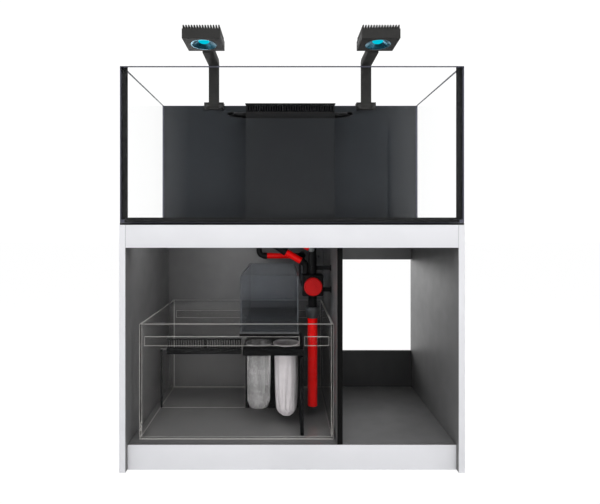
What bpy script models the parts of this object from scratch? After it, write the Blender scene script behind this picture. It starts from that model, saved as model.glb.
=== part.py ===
"""Rimless reef aquarium on an open-fronted cabinet, with its sump, plumbing and two clamp-on lights.

Metres, +Z up. The origin is on the floor under the middle of the cabinet, and the front faces -Y.
"""
import math

import bmesh
import bpy
from mathutils import Matrix, Vector

# ------------------------------------------------------------------ fits
GAP = 0.0003                    # left between any two pieces that touch
SLIDE_GAP = 0.0005              # round a piece that slides
ROUND_SIDES = 32                # flats on a turned or drilled circle

# ------------------------------------------------------------------ cabinet
CABINET_WIDTH = 1.205
CABINET_DEPTH = 0.600
CABINET_HEIGHT = 0.864
SIDE_THICKNESS = 0.022
BOARD_THICKNESS = 0.018
TOP_THICKNESS = 0.022
RAIL_HEIGHT = 0.080
RAIL_THICKNESS = 0.020
PLINTH_HEIGHT = 0.088
PLINTH_RECESS = 0.020
DIVIDER_THICKNESS = 0.019
DIVIDER_LEFT_X = 0.160
CUTOUT_BOTTOM_Z = 0.2585
CUTOUT_TOP_Z = 0.695
MAT_THICKNESS = 0.006

# ------------------------------------------------------------------ display tank
TANK_SIDE_INSET = 0.0025        # from the cabinet's side to the tank's
TANK_DEPTH = 0.550
TANK_HEIGHT = 0.547
GLASS = 0.012
SEAM_LAYER = 0.0015             # silicone between a side pane and the front pane
SEAM_FILLET = 0.012             # silicone fillet inside the corner

# ------------------------------------------------------------------ overflow box (weir)
WEIR_WIDTH = 0.390
WEIR_DEPTH = 0.128
WEIR_WALL = 0.006
WEIR_DROP = 0.027               # from the tank's rim to the top of the box's sides
COMB_HEIGHT = 0.061
COMB_LIP_THICKNESS = 0.003
COMB_LIP_DEPTH = 0.010
WEIR_SLOTS = 34
WEIR_SLOT_WIDTH = 0.0055
WEIR_SLOT_HEIGHT = 0.027
WEIR_SLOT_DROP = 0.006          # from the comb's top edge down to its slots
LID_THICKNESS = 0.004
LID_OVERHANG = 0.003
WEIR_PIPE_SETBACK = 0.073       # from the rear pane's face to the pipes' axes

# ------------------------------------------------------------------ pipes
PIPE_WALL = 0.003
DRAIN_RADIUS = 0.0165
DRAIN_X = 0.086
STANDPIPE_DROP = 0.117          # from the tank's rim to the standpipe's mouth
RETURN_RADIUS = 0.0125
RETURN_X = -0.140
MANIFOLD_DROP = 0.062           # from the tank's rim to the return manifold's axis
BRANCH_RADIUS = 0.0135
EMERGENCY_X = -0.060
EMERGENCY_DROP = 0.097
PIPE_BEND = 0.024
HIDDEN_RUN_DROP = 0.030         # from the cabinet top's underside to the runs below it
PIPE_END_BELOW_TOP = 0.004      # how far a pipe through the cabinet top stands below it

NOZZLE_REACH = 0.070
NOZZLE_FORWARD = 0.030
NOZZLE_SPIGOT_RADIUS = 0.0078
NOZZLE_SPIGOT_LENGTH = 0.012
NOZZLE_RING_SIDES = 16

RETURN_RUN_Z = 0.7217
RETURN_RED_LEFT_X = -0.104
RETURN_RED_RIGHT_X = 0.004
RETURN_OUT_X = 0.058

# ------------------------------------------------------------------ valve and downpipe
VALVE_Y = -0.064
VALVE_Z = 0.6215
VALVE_WALL = 0.0029             # beside the branch's socket
VALVE_DEPTH = 0.068
VALVE_ABOVE = 0.0445            # the body's height above its ball's centre
VALVE_BELOW = 0.0405
VALVE_SOCKET = 0.014
VALVE_BORE_RADIUS = 0.012
BALL_RADIUS = 0.021
STEM_RADIUS = 0.006
KNOB_RADIUS = 0.0363
KNOB_THICKNESS = 0.020
KNOB_STANDOFF = 0.0025
OUTLET_RADIUS = 0.0175
OUTLET_LENGTH = 0.065
BRANCH_BEHIND = 0.018           # how far the branch's inlet sits behind the main inlet
BRANCH_CLEAR = 0.00105          # between the two inlets' pipes
BRANCH_SOCKET = 0.008
BRANCH_RED_START = (-0.0187, 0.752)
BRANCH_RED_END = (0.040, 0.7174)
DOWNPIPE_RADIUS = 0.0195
DOWNPIPE_BOTTOM_Z = 0.141
UNION_RADIUS = 0.029
UNION_HEIGHT = 0.043
UNION_FLANGE = 0.021
UNION_LIP = 0.005
UNION_WALL = 0.0035
CLIP_HEIGHT = 0.016
CLIP_WALL = 0.0035
CLIP_ARM_DEPTH = 0.012
CLIP_PLATE_THICKNESS = 0.003
CLIP_PLATE_DEPTH = 0.034
UPPER_CLIP_Z = 0.683
LOWER_CLIP_Z = 0.5965

# ------------------------------------------------------------------ sump
SUMP_CLEAR_OF_SIDE = 0.0295
SUMP_CLEAR_OF_DIVIDER = 0.009
SUMP_FRONT_INSET = 0.057        # from the cabinet's front to the sump's front pane
SUMP_REAR_CLEAR = 0.017
SUMP_HEIGHT = 0.4175
SUMP_GLASS = 0.008
BRACE_THICKNESS = 0.006
BRACE_HEIGHT = 0.034
BRACE_DROP = 0.0478             # from the sump's rim
BRACE_END_CLEAR = 0.008
BRACE_SPLIT_X = (0.028, 0.046)
PARTITION_Y = 0.018
PARTITION_THICKNESS = 0.006
PARTITION_DROP = 0.1638         # from the sump's rim
BAFFLE_DROP = 0.1248            # from the sump's rim
BAFFLE_LEFT_X = -0.190
BAFFLE_SIDE_X = 0.032
BAFFLE_THICKNESS = 0.012
SUMP_COMB_LEFT_X = -0.518
SUMP_COMB_RIGHT_X = -0.206
SUMP_COMB_ABOVE = 0.044         # from the partition's top to the comb's
SUMP_COMB_FOOT = 0.020
SUMP_COMB_CHEEK = 0.0055
SUMP_COMB_SLOTS = 30
SUMP_COMB_SLOT_WIDTH = 0.0055
SUMP_COMB_TOP_BAR = 0.006

HOLDER_THICKNESS = 0.026
HOLDER_LEFT_X = -0.180
HOLDER_FRONT_Y = -0.210
CUP_RADIUS = 0.046
CUP_Y = -0.135
MEDIA_CUP_X = -0.125
SOCK_X = -0.020
CUP_RIM_WIDTH = 0.004
CUP_RIM_THICKNESS = 0.004
CUP_WALL = 0.0025
SOCK_WALL = 0.003
MEDIA_CUP_CLEAR = 0.0677        # from the sump's floor
SOCK_CLEAR = 0.0427             # from the sump's floor

RESERVOIR_LEFT_X = -0.190
RESERVOIR_RIGHT_X = 0.028
RESERVOIR_HEIGHT = 0.211
RESERVOIR_WALL = 0.005
RESERVOIR_BASE_THICKNESS = 0.0095
RESERVOIR_INSET = 0.0025        # from the edge of its base plate

# ------------------------------------------------------------------ lights
LIGHT_X = 0.354
LIGHT_WIDTH = 0.151
LIGHT_DEPTH = 0.133
LIGHT_HEIGHT = 0.054
LIGHT_BOTTOM_Z = 1.595
LIGHT_BACK_CLEAR = 0.193        # from the fixture's back to the arm's post
LIGHT_FINS = 13
FIN_SLOT_WIDTH = 0.0055
FIN_DEPTH = 0.015
LED_RECESS_RADIUS = 0.052
LED_RECESS_DEPTH = 0.0195
LED_LIP = 0.0015
LED_PLATE_RADIUS = 0.023
LED_CONE_DEPTH = 0.015
ARM_WIDTH = 0.047
ARM_BAR_HEIGHT = 0.030
ARM_BAR_BOTTOM_Z = 1.600
ARM_BEND = 0.020
POST_THICKNESS = 0.014
TONGUE_WIDTH = 0.040
TONGUE_THICKNESS = 0.014
TONGUE_BOTTOM_Z = 1.6165
TONGUE_IN_LIGHT = 0.090
LIGHT_SLIDE_BACK = 0.030
CLAMP_WIDTH = 0.090
CLAMP_JAW = 0.012
CLAMP_BRIDGE = 0.012
CLAMP_FRONT_DROP = 0.020        # how far the front jaw reaches below the rim
CLAMP_REAR_DROP = 0.045
SCREW_OFFSET = 0.033
SCREW_DROP = 0.009              # from the rim to the screw's axis
SCREW_RADIUS = 0.003
SCREW_HEAD_RADIUS = 0.009
SCREW_HEAD_LENGTH = 0.009
SCREW_HEAD_STANDOFF = 0.004

# ------------------------------------------------------------------ places that follow from the sizes
FRONT_Y = -CABINET_DEPTH / 2
BACK_Y = CABINET_DEPTH / 2
INSIDE_X = CABINET_WIDTH / 2 - SIDE_THICKNESS
BACK_BOARD_Y = BACK_Y - BOARD_THICKNESS
DIVIDER_RIGHT_X = DIVIDER_LEFT_X + DIVIDER_THICKNESS
TOP_UNDERSIDE_Z = CABINET_HEIGHT - TOP_THICKNESS

TANK_WIDTH = CABINET_WIDTH - 2 * TANK_SIDE_INSET
TANK_BOTTOM_Z = CABINET_HEIGHT + MAT_THICKNESS + 2 * GAP
TANK_FLOOR_Z = TANK_BOTTOM_Z + GLASS
RIM_Z = TANK_BOTTOM_Z + TANK_HEIGHT
TANK_BACK_Y = FRONT_Y + TANK_DEPTH
REAR_PANE_Y = TANK_BACK_Y - GLASS
PANE_INSIDE_X = TANK_WIDTH / 2 - GLASS

WEIR_TOP_Z = RIM_Z - WEIR_DROP
WEIR_FRONT_TOP_Z = WEIR_TOP_Z - COMB_HEIGHT
WEIR_FRONT_Y = REAR_PANE_Y - WEIR_DEPTH
WEIR_PIPE_Y = REAR_PANE_Y - WEIR_PIPE_SETBACK
MANIFOLD_Z = RIM_Z - MANIFOLD_DROP
PIPE_FOOT_Z = TOP_UNDERSIDE_Z - PIPE_END_BELOW_TOP
HIDDEN_RUN_Z = TOP_UNDERSIDE_Z - HIDDEN_RUN_DROP

SUMP_LEFT_X = -INSIDE_X + SUMP_CLEAR_OF_SIDE
SUMP_RIGHT_X = DIVIDER_LEFT_X - SUMP_CLEAR_OF_DIVIDER
SUMP_FRONT_Y = FRONT_Y + SUMP_FRONT_INSET
SUMP_BACK_Y = BACK_BOARD_Y - SUMP_REAR_CLEAR
SUMP_BOTTOM_Z = PLINTH_HEIGHT + GAP
SUMP_FLOOR_Z = SUMP_BOTTOM_Z + SUMP_GLASS
SUMP_RIM_Z = SUMP_BOTTOM_Z + SUMP_HEIGHT
BRACE_TOP_Z = SUMP_RIM_Z - BRACE_DROP
PARTITION_TOP_Z = SUMP_RIM_Z - PARTITION_DROP
BAFFLE_TOP_Z = SUMP_RIM_Z - BAFFLE_DROP
SUMP_COMB_TOP_Z = PARTITION_TOP_Z + SUMP_COMB_ABOVE
MEDIA_CUP_BOTTOM_Z = SUMP_FLOOR_Z + MEDIA_CUP_CLEAR
SOCK_BOTTOM_Z = SUMP_FLOOR_Z + SOCK_CLEAR
SUMP_INSIDE_LEFT_X = SUMP_LEFT_X + SUMP_GLASS
SUMP_INSIDE_FRONT_Y = SUMP_FRONT_Y + SUMP_GLASS
SUMP_INSIDE_BACK_Y = SUMP_BACK_Y - SUMP_GLASS
BAFFLE_RIGHT_X = BAFFLE_SIDE_X + BAFFLE_THICKNESS
HOLDER_BOTTOM_Z = BAFFLE_TOP_Z + GAP
HOLDER_TOP_Z = HOLDER_BOTTOM_Z + HOLDER_THICKNESS
RESERVOIR_BOTTOM_Z = BRACE_TOP_Z + GAP
VALVE_TOP_Z = VALVE_Z + VALVE_ABOVE
VALVE_BOTTOM_Z = VALVE_Z - VALVE_BELOW
BRANCH_ASIDE = math.sqrt((DRAIN_RADIUS + BRANCH_RADIUS + BRANCH_CLEAR) ** 2 - BRANCH_BEHIND ** 2)
BRANCH_X = DRAIN_X - BRANCH_ASIDE
BRANCH_Y = VALVE_Y + BRANCH_BEHIND
VALVE_WIDTH = 2 * (BRANCH_ASIDE + BRANCH_RADIUS + GAP + VALVE_WALL)
OUTLET_BOTTOM_Z = VALVE_BOTTOM_Z - OUTLET_LENGTH
UNION_TOP_Z = OUTLET_BOTTOM_Z + UNION_FLANGE - UNION_LIP / 2
LIGHT_TOP_Z = LIGHT_BOTTOM_Z + LIGHT_HEIGHT
POST_FRONT_Y = REAR_PANE_Y - CLAMP_JAW - GAP
LIGHT_BACK_Y = POST_FRONT_Y - LIGHT_BACK_CLEAR
LIGHT_FRONT_Y = LIGHT_BACK_Y - LIGHT_DEPTH


# ------------------------------------------------------------------ the empty scene, its collections and materials
for old in list(bpy.data.objects):
    bpy.data.objects.remove(old, do_unlink=True)

PARTS = bpy.data.collections.new("aquarium_on_stand")
CUTTERS = bpy.data.collections.new("cutters")
for collection in (PARTS, CUTTERS):
    bpy.context.scene.collection.children.link(collection)


def finish(name, colour, roughness, metallic=0.0, alpha=1.0):
    """A Principled material for one kind of surface."""
    material = bpy.data.materials.new(name)
    material.use_nodes = True
    shader = material.node_tree.nodes["Principled BSDF"]
    shader.inputs["Base Color"].default_value = (*colour, 1.0)
    shader.inputs["Roughness"].default_value = roughness
    shader.inputs["Metallic"].default_value = metallic
    shader.inputs["Alpha"].default_value = alpha
    material.diffuse_color = (*colour, alpha)
    return material


WHITE_BOARD = finish("white_board", (0.82, 0.82, 0.84), 0.45)
GREY_BOARD = finish("grey_board", (0.085, 0.085, 0.087), 0.55)
BLACK_FOAM = finish("black_foam", (0.01, 0.01, 0.01), 0.9)
CLEAR_GLASS = finish("clear_glass", (0.85, 0.9, 0.9), 0.02, alpha=0.25)
BLACK_GLASS = finish("black_glass", (0.03, 0.033, 0.036), 0.1)
BLACK_SILICONE = finish("black_silicone", (0.012, 0.012, 0.013), 0.5)
BLACK_ACRYLIC = finish("black_acrylic", (0.02, 0.021, 0.023), 0.25)
BLACK_PLASTIC = finish("black_plastic", (0.008, 0.008, 0.008), 0.35)
RED_PLASTIC = finish("red_plastic", (0.75, 0.008, 0.008), 0.3)
GREY_PLASTIC = finish("grey_plastic", (0.09, 0.1, 0.1), 0.4)
SMOKED_ACRYLIC = finish("smoked_acrylic", (0.07, 0.08, 0.09), 0.08, alpha=0.5)
CLEAR_PLASTIC = finish("clear_plastic", (0.7, 0.7, 0.7), 0.1, alpha=0.4)
WHITE_FELT = finish("white_felt", (0.58, 0.56, 0.56), 0.95)
BLACK_ALUMINIUM = finish("black_aluminium", (0.02, 0.02, 0.022), 0.45, metallic=0.6)
BLUE_LENS = finish("blue_lens", (0.0, 0.6, 0.8), 0.1)
STEEL = finish("steel", (0.5, 0.5, 0.5), 0.3, metallic=1.0)


# ------------------------------------------------------------------ how the pieces are shaped
def add_box(bm, low, high):
    low, high = Vector(low), Vector(high)
    size = Matrix.Diagonal((*(high - low), 1))
    bmesh.ops.create_cube(bm, size=1, matrix=Matrix.Translation((low + high) / 2) @ size)


def add_rod(bm, start, end, radius):
    """A cylinder between two points."""
    start, end = Vector(start), Vector(end)
    along = end - start
    turn = along.to_track_quat("Z", "Y").to_matrix().to_4x4()
    bmesh.ops.create_cone(
        bm, cap_ends=True, segments=ROUND_SIDES, radius1=radius, radius2=radius,
        depth=along.length, matrix=Matrix.Translation((start + end) / 2) @ turn)


def solid(name, bm, origin, material):
    """The object of a bmesh drawn in world metres, with its own origin at a given point."""
    bmesh.ops.translate(bm, verts=bm.verts, vec=-Vector(origin))
    mesh = bpy.data.meshes.new(name)
    bm.to_mesh(mesh)
    bm.free()
    mesh.materials.append(material)
    obj = bpy.data.objects.new(name, mesh)
    obj.location = origin
    PARTS.objects.link(obj)
    return obj


def helper(name, bm):
    """A shape that only cuts or joins another one."""
    mesh = bpy.data.meshes.new(name)
    bm.to_mesh(mesh)
    bm.free()
    obj = bpy.data.objects.new(name, mesh)
    obj.hide_render = True
    obj.display_type = "WIRE"
    CUTTERS.objects.link(obj)
    return obj


def combine(obj, operation, other):
    boolean = obj.modifiers.new(f"{operation.title()} {other.name}", "BOOLEAN")
    boolean.operation = operation
    boolean.solver = "EXACT"
    boolean.object = other


def block(name, low, high, material, origin=None):
    """A plain board, pane or block between two corners."""
    bm = bmesh.new()
    add_box(bm, low, high)
    middle = (Vector(low) + Vector(high)) / 2
    return solid(name, bm, middle if origin is None else origin, material)


def cut_boxes(obj, name, corners):
    bm = bmesh.new()
    for low, high in corners:
        add_box(bm, low, high)
    combine(obj, "DIFFERENCE", helper(f"{obj.name}_{name}", bm))


def join_box(obj, name, low, high):
    bm = bmesh.new()
    add_box(bm, low, high)
    combine(obj, "UNION", helper(f"{obj.name}_{name}", bm))


def cut_rod(obj, name, start, end, radius):
    bm = bmesh.new()
    add_rod(bm, start, end, radius)
    combine(obj, "DIFFERENCE", helper(f"{obj.name}_{name}", bm))


def join_rod(obj, name, start, end, radius):
    bm = bmesh.new()
    add_rod(bm, start, end, radius)
    combine(obj, "UNION", helper(f"{obj.name}_{name}", bm))


def turned(name, origin, profile, material, ring=False):
    """A piece turned round a vertical axis from (radius, height) points, down its outer side first."""
    bm = bmesh.new()
    points = [bm.verts.new((radius, 0, height)) for radius, height in profile]
    for first, second in zip(points, points[1:]):
        bm.edges.new((first, second))
    if ring:
        bm.edges.new((points[-1], points[0]))
    mesh = bpy.data.meshes.new(name)
    bm.to_mesh(mesh)
    bm.free()
    mesh.materials.append(material)
    obj = bpy.data.objects.new(name, mesh)
    obj.location = origin
    PARTS.objects.link(obj)
    screw = obj.modifiers.new("Turn", "SCREW")
    screw.axis = "Z"
    screw.steps = screw.render_steps = ROUND_SIDES
    screw.use_merge_vertices = True
    screw.merge_threshold = 0.0001
    screw.use_smooth_shade = True
    return obj


def bent(corners, radius, steps=6):
    """The points of a pipe's axis through corners, each rounded to an arc of a given radius."""
    corners = [Vector(corner) for corner in corners]
    points = [corners[0]]
    for before, corner, after in zip(corners, corners[1:], corners[2:]):
        back, on = (before - corner).normalized(), (after - corner).normalized()
        half_angle = back.angle(on) / 2
        centre = corner + (back + on).normalized() * radius / math.sin(half_angle)
        arm = corner + back * radius / math.tan(half_angle) - centre
        axis = arm.cross(corner + on * radius / math.tan(half_angle) - centre)
        turn = math.pi - 2 * half_angle
        for step in range(steps + 1):
            points.append(centre + Matrix.Rotation(turn * step / steps, 3, axis) @ arm)
    return points + [corners[-1]]


def pipe(name, points, radius, material):
    """A round pipe or bent fitting along a path."""
    curve = bpy.data.curves.new(name, "CURVE")
    curve.dimensions = "3D"
    curve.bevel_depth = radius
    curve.bevel_resolution = 4
    curve.use_fill_caps = True
    spline = curve.splines.new("POLY")
    spline.points.add(len(points) - 1)
    for target, point in zip(spline.points, points):
        target.co = (*point, 1)
    curve.materials.append(material)
    obj = bpy.data.objects.new(name, curve)
    PARTS.objects.link(obj)
    return obj


def pipe_mesh(name, points, radius, material):
    """The same pipe as a mesh, for one that is cut or joined."""
    curve = pipe(name, points, radius, material)
    bpy.context.view_layer.update()
    graph = bpy.context.evaluated_depsgraph_get()
    mesh = bpy.data.meshes.new_from_object(curve.evaluated_get(graph))
    bm = bmesh.new()
    bm.from_mesh(mesh)
    bmesh.ops.remove_doubles(bm, verts=bm.verts, dist=1e-6)
    bpy.data.meshes.remove(mesh)
    bpy.data.objects.remove(curve, do_unlink=True)
    return solid(name, bm, (0, 0, 0), material)


def outline(name, points, length, matrix, material):
    """A flat outline drawn in its own XY plane and given a length along its own Z, then stood up."""
    curve = bpy.data.curves.new(name, "CURVE")
    curve.dimensions = "2D"
    curve.fill_mode = "BOTH"
    curve.extrude = length / 2
    spline = curve.splines.new("POLY")
    spline.use_cyclic_u = True
    spline.points.add(len(points) - 1)
    for target, (across, up) in zip(spline.points, points):
        target.co = (across, up, 0, 1)
    flat = bpy.data.objects.new(name, curve)
    PARTS.objects.link(flat)
    bpy.context.view_layer.update()
    graph = bpy.context.evaluated_depsgraph_get()
    mesh = bpy.data.meshes.new_from_object(flat.evaluated_get(graph))
    bpy.data.objects.remove(flat, do_unlink=True)
    bm = bmesh.new()
    bm.from_mesh(mesh)
    bpy.data.meshes.remove(mesh)
    bmesh.ops.remove_doubles(bm, verts=bm.verts, dist=1e-6)
    bmesh.ops.transform(bm, matrix=matrix, verts=bm.verts)
    bmesh.ops.recalc_face_normals(bm, faces=bm.faces)
    return solid(name, bm, matrix.translation, material)


def mounting_point(name, location):
    """An empty on a moving assembly's joint."""
    point = bpy.data.objects.new(name, None)
    point.empty_display_size = 0.03
    point.location = location
    PARTS.objects.link(point)
    return point


def carry(parent, *children):
    bpy.context.view_layer.update()
    for child in children:
        child.parent = parent
        child.matrix_parent_inverse = parent.matrix_world.inverted()


# ------------------------------------------------------------------ cabinet
def build_cabinet():
    edge = CABINET_WIDTH / 2
    for side, name in ((-1, "side_panel_left"), (1, "side_panel_right")):
        xs = sorted((side * edge, side * INSIDE_X))
        block(name, (xs[0], FRONT_Y, 0), (xs[1], BACK_Y, CABINET_HEIGHT), WHITE_BOARD)
    inner = INSIDE_X - GAP
    plinth_y = FRONT_Y + PLINTH_RECESS
    plinth_back = plinth_y + BOARD_THICKNESS
    block("plinth_board", (-inner, plinth_y, 0), (inner, plinth_back, PLINTH_HEIGHT), WHITE_BOARD)
    block("floor_panel", (-inner, plinth_back + GAP, PLINTH_HEIGHT - BOARD_THICKNESS),
          (inner, BACK_Y, PLINTH_HEIGHT), GREY_BOARD)
    rail_back = FRONT_Y + RAIL_THICKNESS
    block("front_rail", (-inner, FRONT_Y, CABINET_HEIGHT - RAIL_HEIGHT),
          (inner, rail_back, CABINET_HEIGHT), WHITE_BOARD)
    top = block("top_panel", (-inner, rail_back + GAP, TOP_UNDERSIDE_Z),
                (inner, BACK_Y, CABINET_HEIGHT), GREY_BOARD)
    drill_for_pipes(top, TOP_UNDERSIDE_Z, CABINET_HEIGHT)
    floor = PLINTH_HEIGHT + GAP
    ceiling = TOP_UNDERSIDE_Z - GAP
    divider = block("divider_panel", (DIVIDER_LEFT_X, plinth_y, floor),
                    (DIVIDER_RIGHT_X, BACK_BOARD_Y - GAP, ceiling), GREY_BOARD)
    cut_boxes(divider, "rail_notch", [(
        (DIVIDER_LEFT_X - BOARD_THICKNESS, FRONT_Y, CABINET_HEIGHT - RAIL_HEIGHT - GAP),
        (DIVIDER_RIGHT_X + BOARD_THICKNESS, rail_back + GAP, CABINET_HEIGHT))])
    middle = (DIVIDER_LEFT_X + DIVIDER_RIGHT_X) / 2
    block("back_panel_left", (-inner, BACK_BOARD_Y, floor), (middle - GAP / 2, BACK_Y, ceiling),
          GREY_BOARD)
    block("back_panel_lower", (middle + GAP / 2, BACK_BOARD_Y, floor),
          (inner, BACK_Y, CUTOUT_BOTTOM_Z), GREY_BOARD)
    block("back_rail_upper", (middle + GAP / 2, BACK_BOARD_Y, CUTOUT_TOP_Z),
          (inner, BACK_Y, ceiling), GREY_BOARD)
    mat_z = CABINET_HEIGHT + GAP
    mat = block("tank_mat", (-TANK_WIDTH / 2, FRONT_Y, mat_z),
                (TANK_WIDTH / 2, TANK_BACK_Y, mat_z + MAT_THICKNESS), BLACK_FOAM)
    drill_for_pipes(mat, mat_z, mat_z + MAT_THICKNESS)


def drill_for_pipes(board, bottom, top):
    """The three pipe holes that line up through the tank's floor, the mat and the cabinet's top."""
    bm = bmesh.new()
    for x, radius in ((DRAIN_X, DRAIN_RADIUS), (RETURN_X, RETURN_RADIUS), (EMERGENCY_X, BRANCH_RADIUS)):
        add_rod(bm, (x, WEIR_PIPE_Y, bottom - GLASS), (x, WEIR_PIPE_Y, top + GLASS), radius + GAP)
    combine(board, "DIFFERENCE", helper(f"{board.name}_pipe_holes", bm))


# ------------------------------------------------------------------ display tank
def build_tank():
    half = TANK_WIDTH / 2
    base = block("tank_base_pane", (-PANE_INSIDE_X + GAP, FRONT_Y + GLASS + GAP, TANK_BOTTOM_Z),
                 (PANE_INSIDE_X - GAP, REAR_PANE_Y - GAP, TANK_FLOOR_Z), CLEAR_GLASS)
    drill_for_pipes(base, TANK_BOTTOM_Z, TANK_FLOOR_Z)
    block("tank_front_pane", (-half, FRONT_Y, TANK_BOTTOM_Z), (half, FRONT_Y + GLASS, RIM_Z), CLEAR_GLASS)
    block("tank_rear_pane", (-half, REAR_PANE_Y, TANK_BOTTOM_Z), (half, TANK_BACK_Y, RIM_Z), BLACK_GLASS)
    side_front = FRONT_Y + GLASS + SEAM_LAYER + 2 * GAP
    for side, name in ((-1, "left"), (1, "right")):
        xs = sorted((side * half, side * PANE_INSIDE_X))
        block(f"tank_{name}_pane", (xs[0], side_front, TANK_BOTTOM_Z),
              (xs[1], REAR_PANE_Y - GAP, RIM_Z), CLEAR_GLASS)
        build_corner_seam(side, f"corner_seam_{name}")


def build_corner_seam(side, name):
    """Black silicone: a thin layer on the side pane's front edge, and a fillet inside the corner."""
    glued = FRONT_Y + GLASS + GAP
    inner = PANE_INSIDE_X - GAP
    points = [
        (side * TANK_WIDTH / 2, glued), (side * (inner - SEAM_FILLET), glued),
        (side * inner, glued + SEAM_FILLET), (side * inner, glued + SEAM_LAYER),
        (side * TANK_WIDTH / 2, glued + SEAM_LAYER)]
    bottom = TANK_FLOOR_Z + GAP
    height = RIM_Z - bottom
    outline(name, points, height, Matrix.Translation((0, 0, bottom + height / 2)), BLACK_SILICONE)


# ------------------------------------------------------------------ overflow box
def build_weir():
    half = WEIR_WIDTH / 2
    bottom = TANK_FLOOR_Z + GAP
    back = REAR_PANE_Y - GAP
    box = block("weir_box", (-half, WEIR_FRONT_Y, bottom), (half, back, WEIR_TOP_Z), BLACK_ACRYLIC)
    past = WEIR_WALL * 2
    cut_boxes(box, "inside", [(
        (-half + WEIR_WALL, WEIR_FRONT_Y + WEIR_WALL, bottom - past),
        (half - WEIR_WALL, back + past, WEIR_TOP_Z + past))])
    cut_boxes(box, "comb_seat", [(
        (-half - past, WEIR_FRONT_Y - past, WEIR_FRONT_TOP_Z - GAP),
        (half + past, WEIR_FRONT_Y + WEIR_WALL + GAP, WEIR_TOP_Z + past))])
    cut_rod(box, "manifold_holes", (-half - past, WEIR_PIPE_Y, MANIFOLD_Z),
            (half + past, WEIR_PIPE_Y, MANIFOLD_Z), RETURN_RADIUS + GAP)

    comb = block("weir_comb", (-half, WEIR_FRONT_Y, WEIR_FRONT_TOP_Z),
                 (half, WEIR_FRONT_Y + WEIR_WALL, WEIR_TOP_Z), BLACK_PLASTIC)
    lip_y = WEIR_FRONT_Y + WEIR_WALL + GAP
    lip_x = half - WEIR_WALL - GAP
    join_box(comb, "lip", (-lip_x, lip_y - COMB_LIP_THICKNESS, WEIR_FRONT_TOP_Z + GAP),
             (lip_x, lip_y + COMB_LIP_THICKNESS, WEIR_FRONT_TOP_Z + COMB_LIP_DEPTH))
    join_box(comb, "tongue", (-lip_x, lip_y, WEIR_FRONT_TOP_Z - COMB_LIP_DEPTH),
             (lip_x, lip_y + COMB_LIP_THICKNESS, WEIR_FRONT_TOP_Z + COMB_LIP_DEPTH / 2))
    pitch = (WEIR_WIDTH - 2 * WEIR_WALL) / WEIR_SLOTS
    slot_top = WEIR_TOP_Z - WEIR_SLOT_DROP
    slots = []
    for number in range(WEIR_SLOTS):
        middle = (number - (WEIR_SLOTS - 1) / 2) * pitch
        slots.append(((middle - WEIR_SLOT_WIDTH / 2, WEIR_FRONT_Y - WEIR_WALL, slot_top - WEIR_SLOT_HEIGHT),
                      (middle + WEIR_SLOT_WIDTH / 2, lip_y + WEIR_WALL, slot_top)))
    cut_boxes(comb, "slots", slots)

    lid_z = WEIR_TOP_Z + GAP
    lid = block("weir_lid", (-half - LID_OVERHANG, WEIR_FRONT_Y - LID_OVERHANG, lid_z),
                (half + LID_OVERHANG, back, lid_z + LID_THICKNESS), BLACK_PLASTIC)
    comb_mount = mounting_point("comb_lift", (0, WEIR_FRONT_Y, WEIR_FRONT_TOP_Z))
    carry(comb_mount, comb, lid)


def build_weir_pipes():
    drain_top = RIM_Z - STANDPIPE_DROP
    turned("drain_standpipe", (DRAIN_X, WEIR_PIPE_Y, PIPE_FOOT_Z), [
        (DRAIN_RADIUS, drain_top - PIPE_FOOT_Z), (DRAIN_RADIUS, 0),
        (DRAIN_RADIUS - PIPE_WALL, 0), (DRAIN_RADIUS - PIPE_WALL, drain_top - PIPE_FOOT_Z)],
        BLACK_PLASTIC, ring=True)
    riser = pipe_mesh("return_riser", [
        Vector((RETURN_X, WEIR_PIPE_Y, PIPE_FOOT_Z)), Vector((RETURN_X, WEIR_PIPE_Y, MANIFOLD_Z))],
        RETURN_RADIUS, BLACK_PLASTIC)
    half = WEIR_WIDTH / 2
    join_rod(riser, "manifold", (-half, WEIR_PIPE_Y, MANIFOLD_Z), (half, WEIR_PIPE_Y, MANIFOLD_Z),
             RETURN_RADIUS - GAP / 2)
    deep = NOZZLE_SPIGOT_LENGTH + PIPE_WALL
    for side, name in ((-1, "left"), (1, "right")):
        cut_rod(riser, f"socket_{name}", (side * (half - deep), WEIR_PIPE_Y, MANIFOLD_Z),
                (side * (half + deep), WEIR_PIPE_Y, MANIFOLD_Z), NOZZLE_SPIGOT_RADIUS + GAP)
        build_nozzle(side, f"nozzle_{name}")


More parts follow.
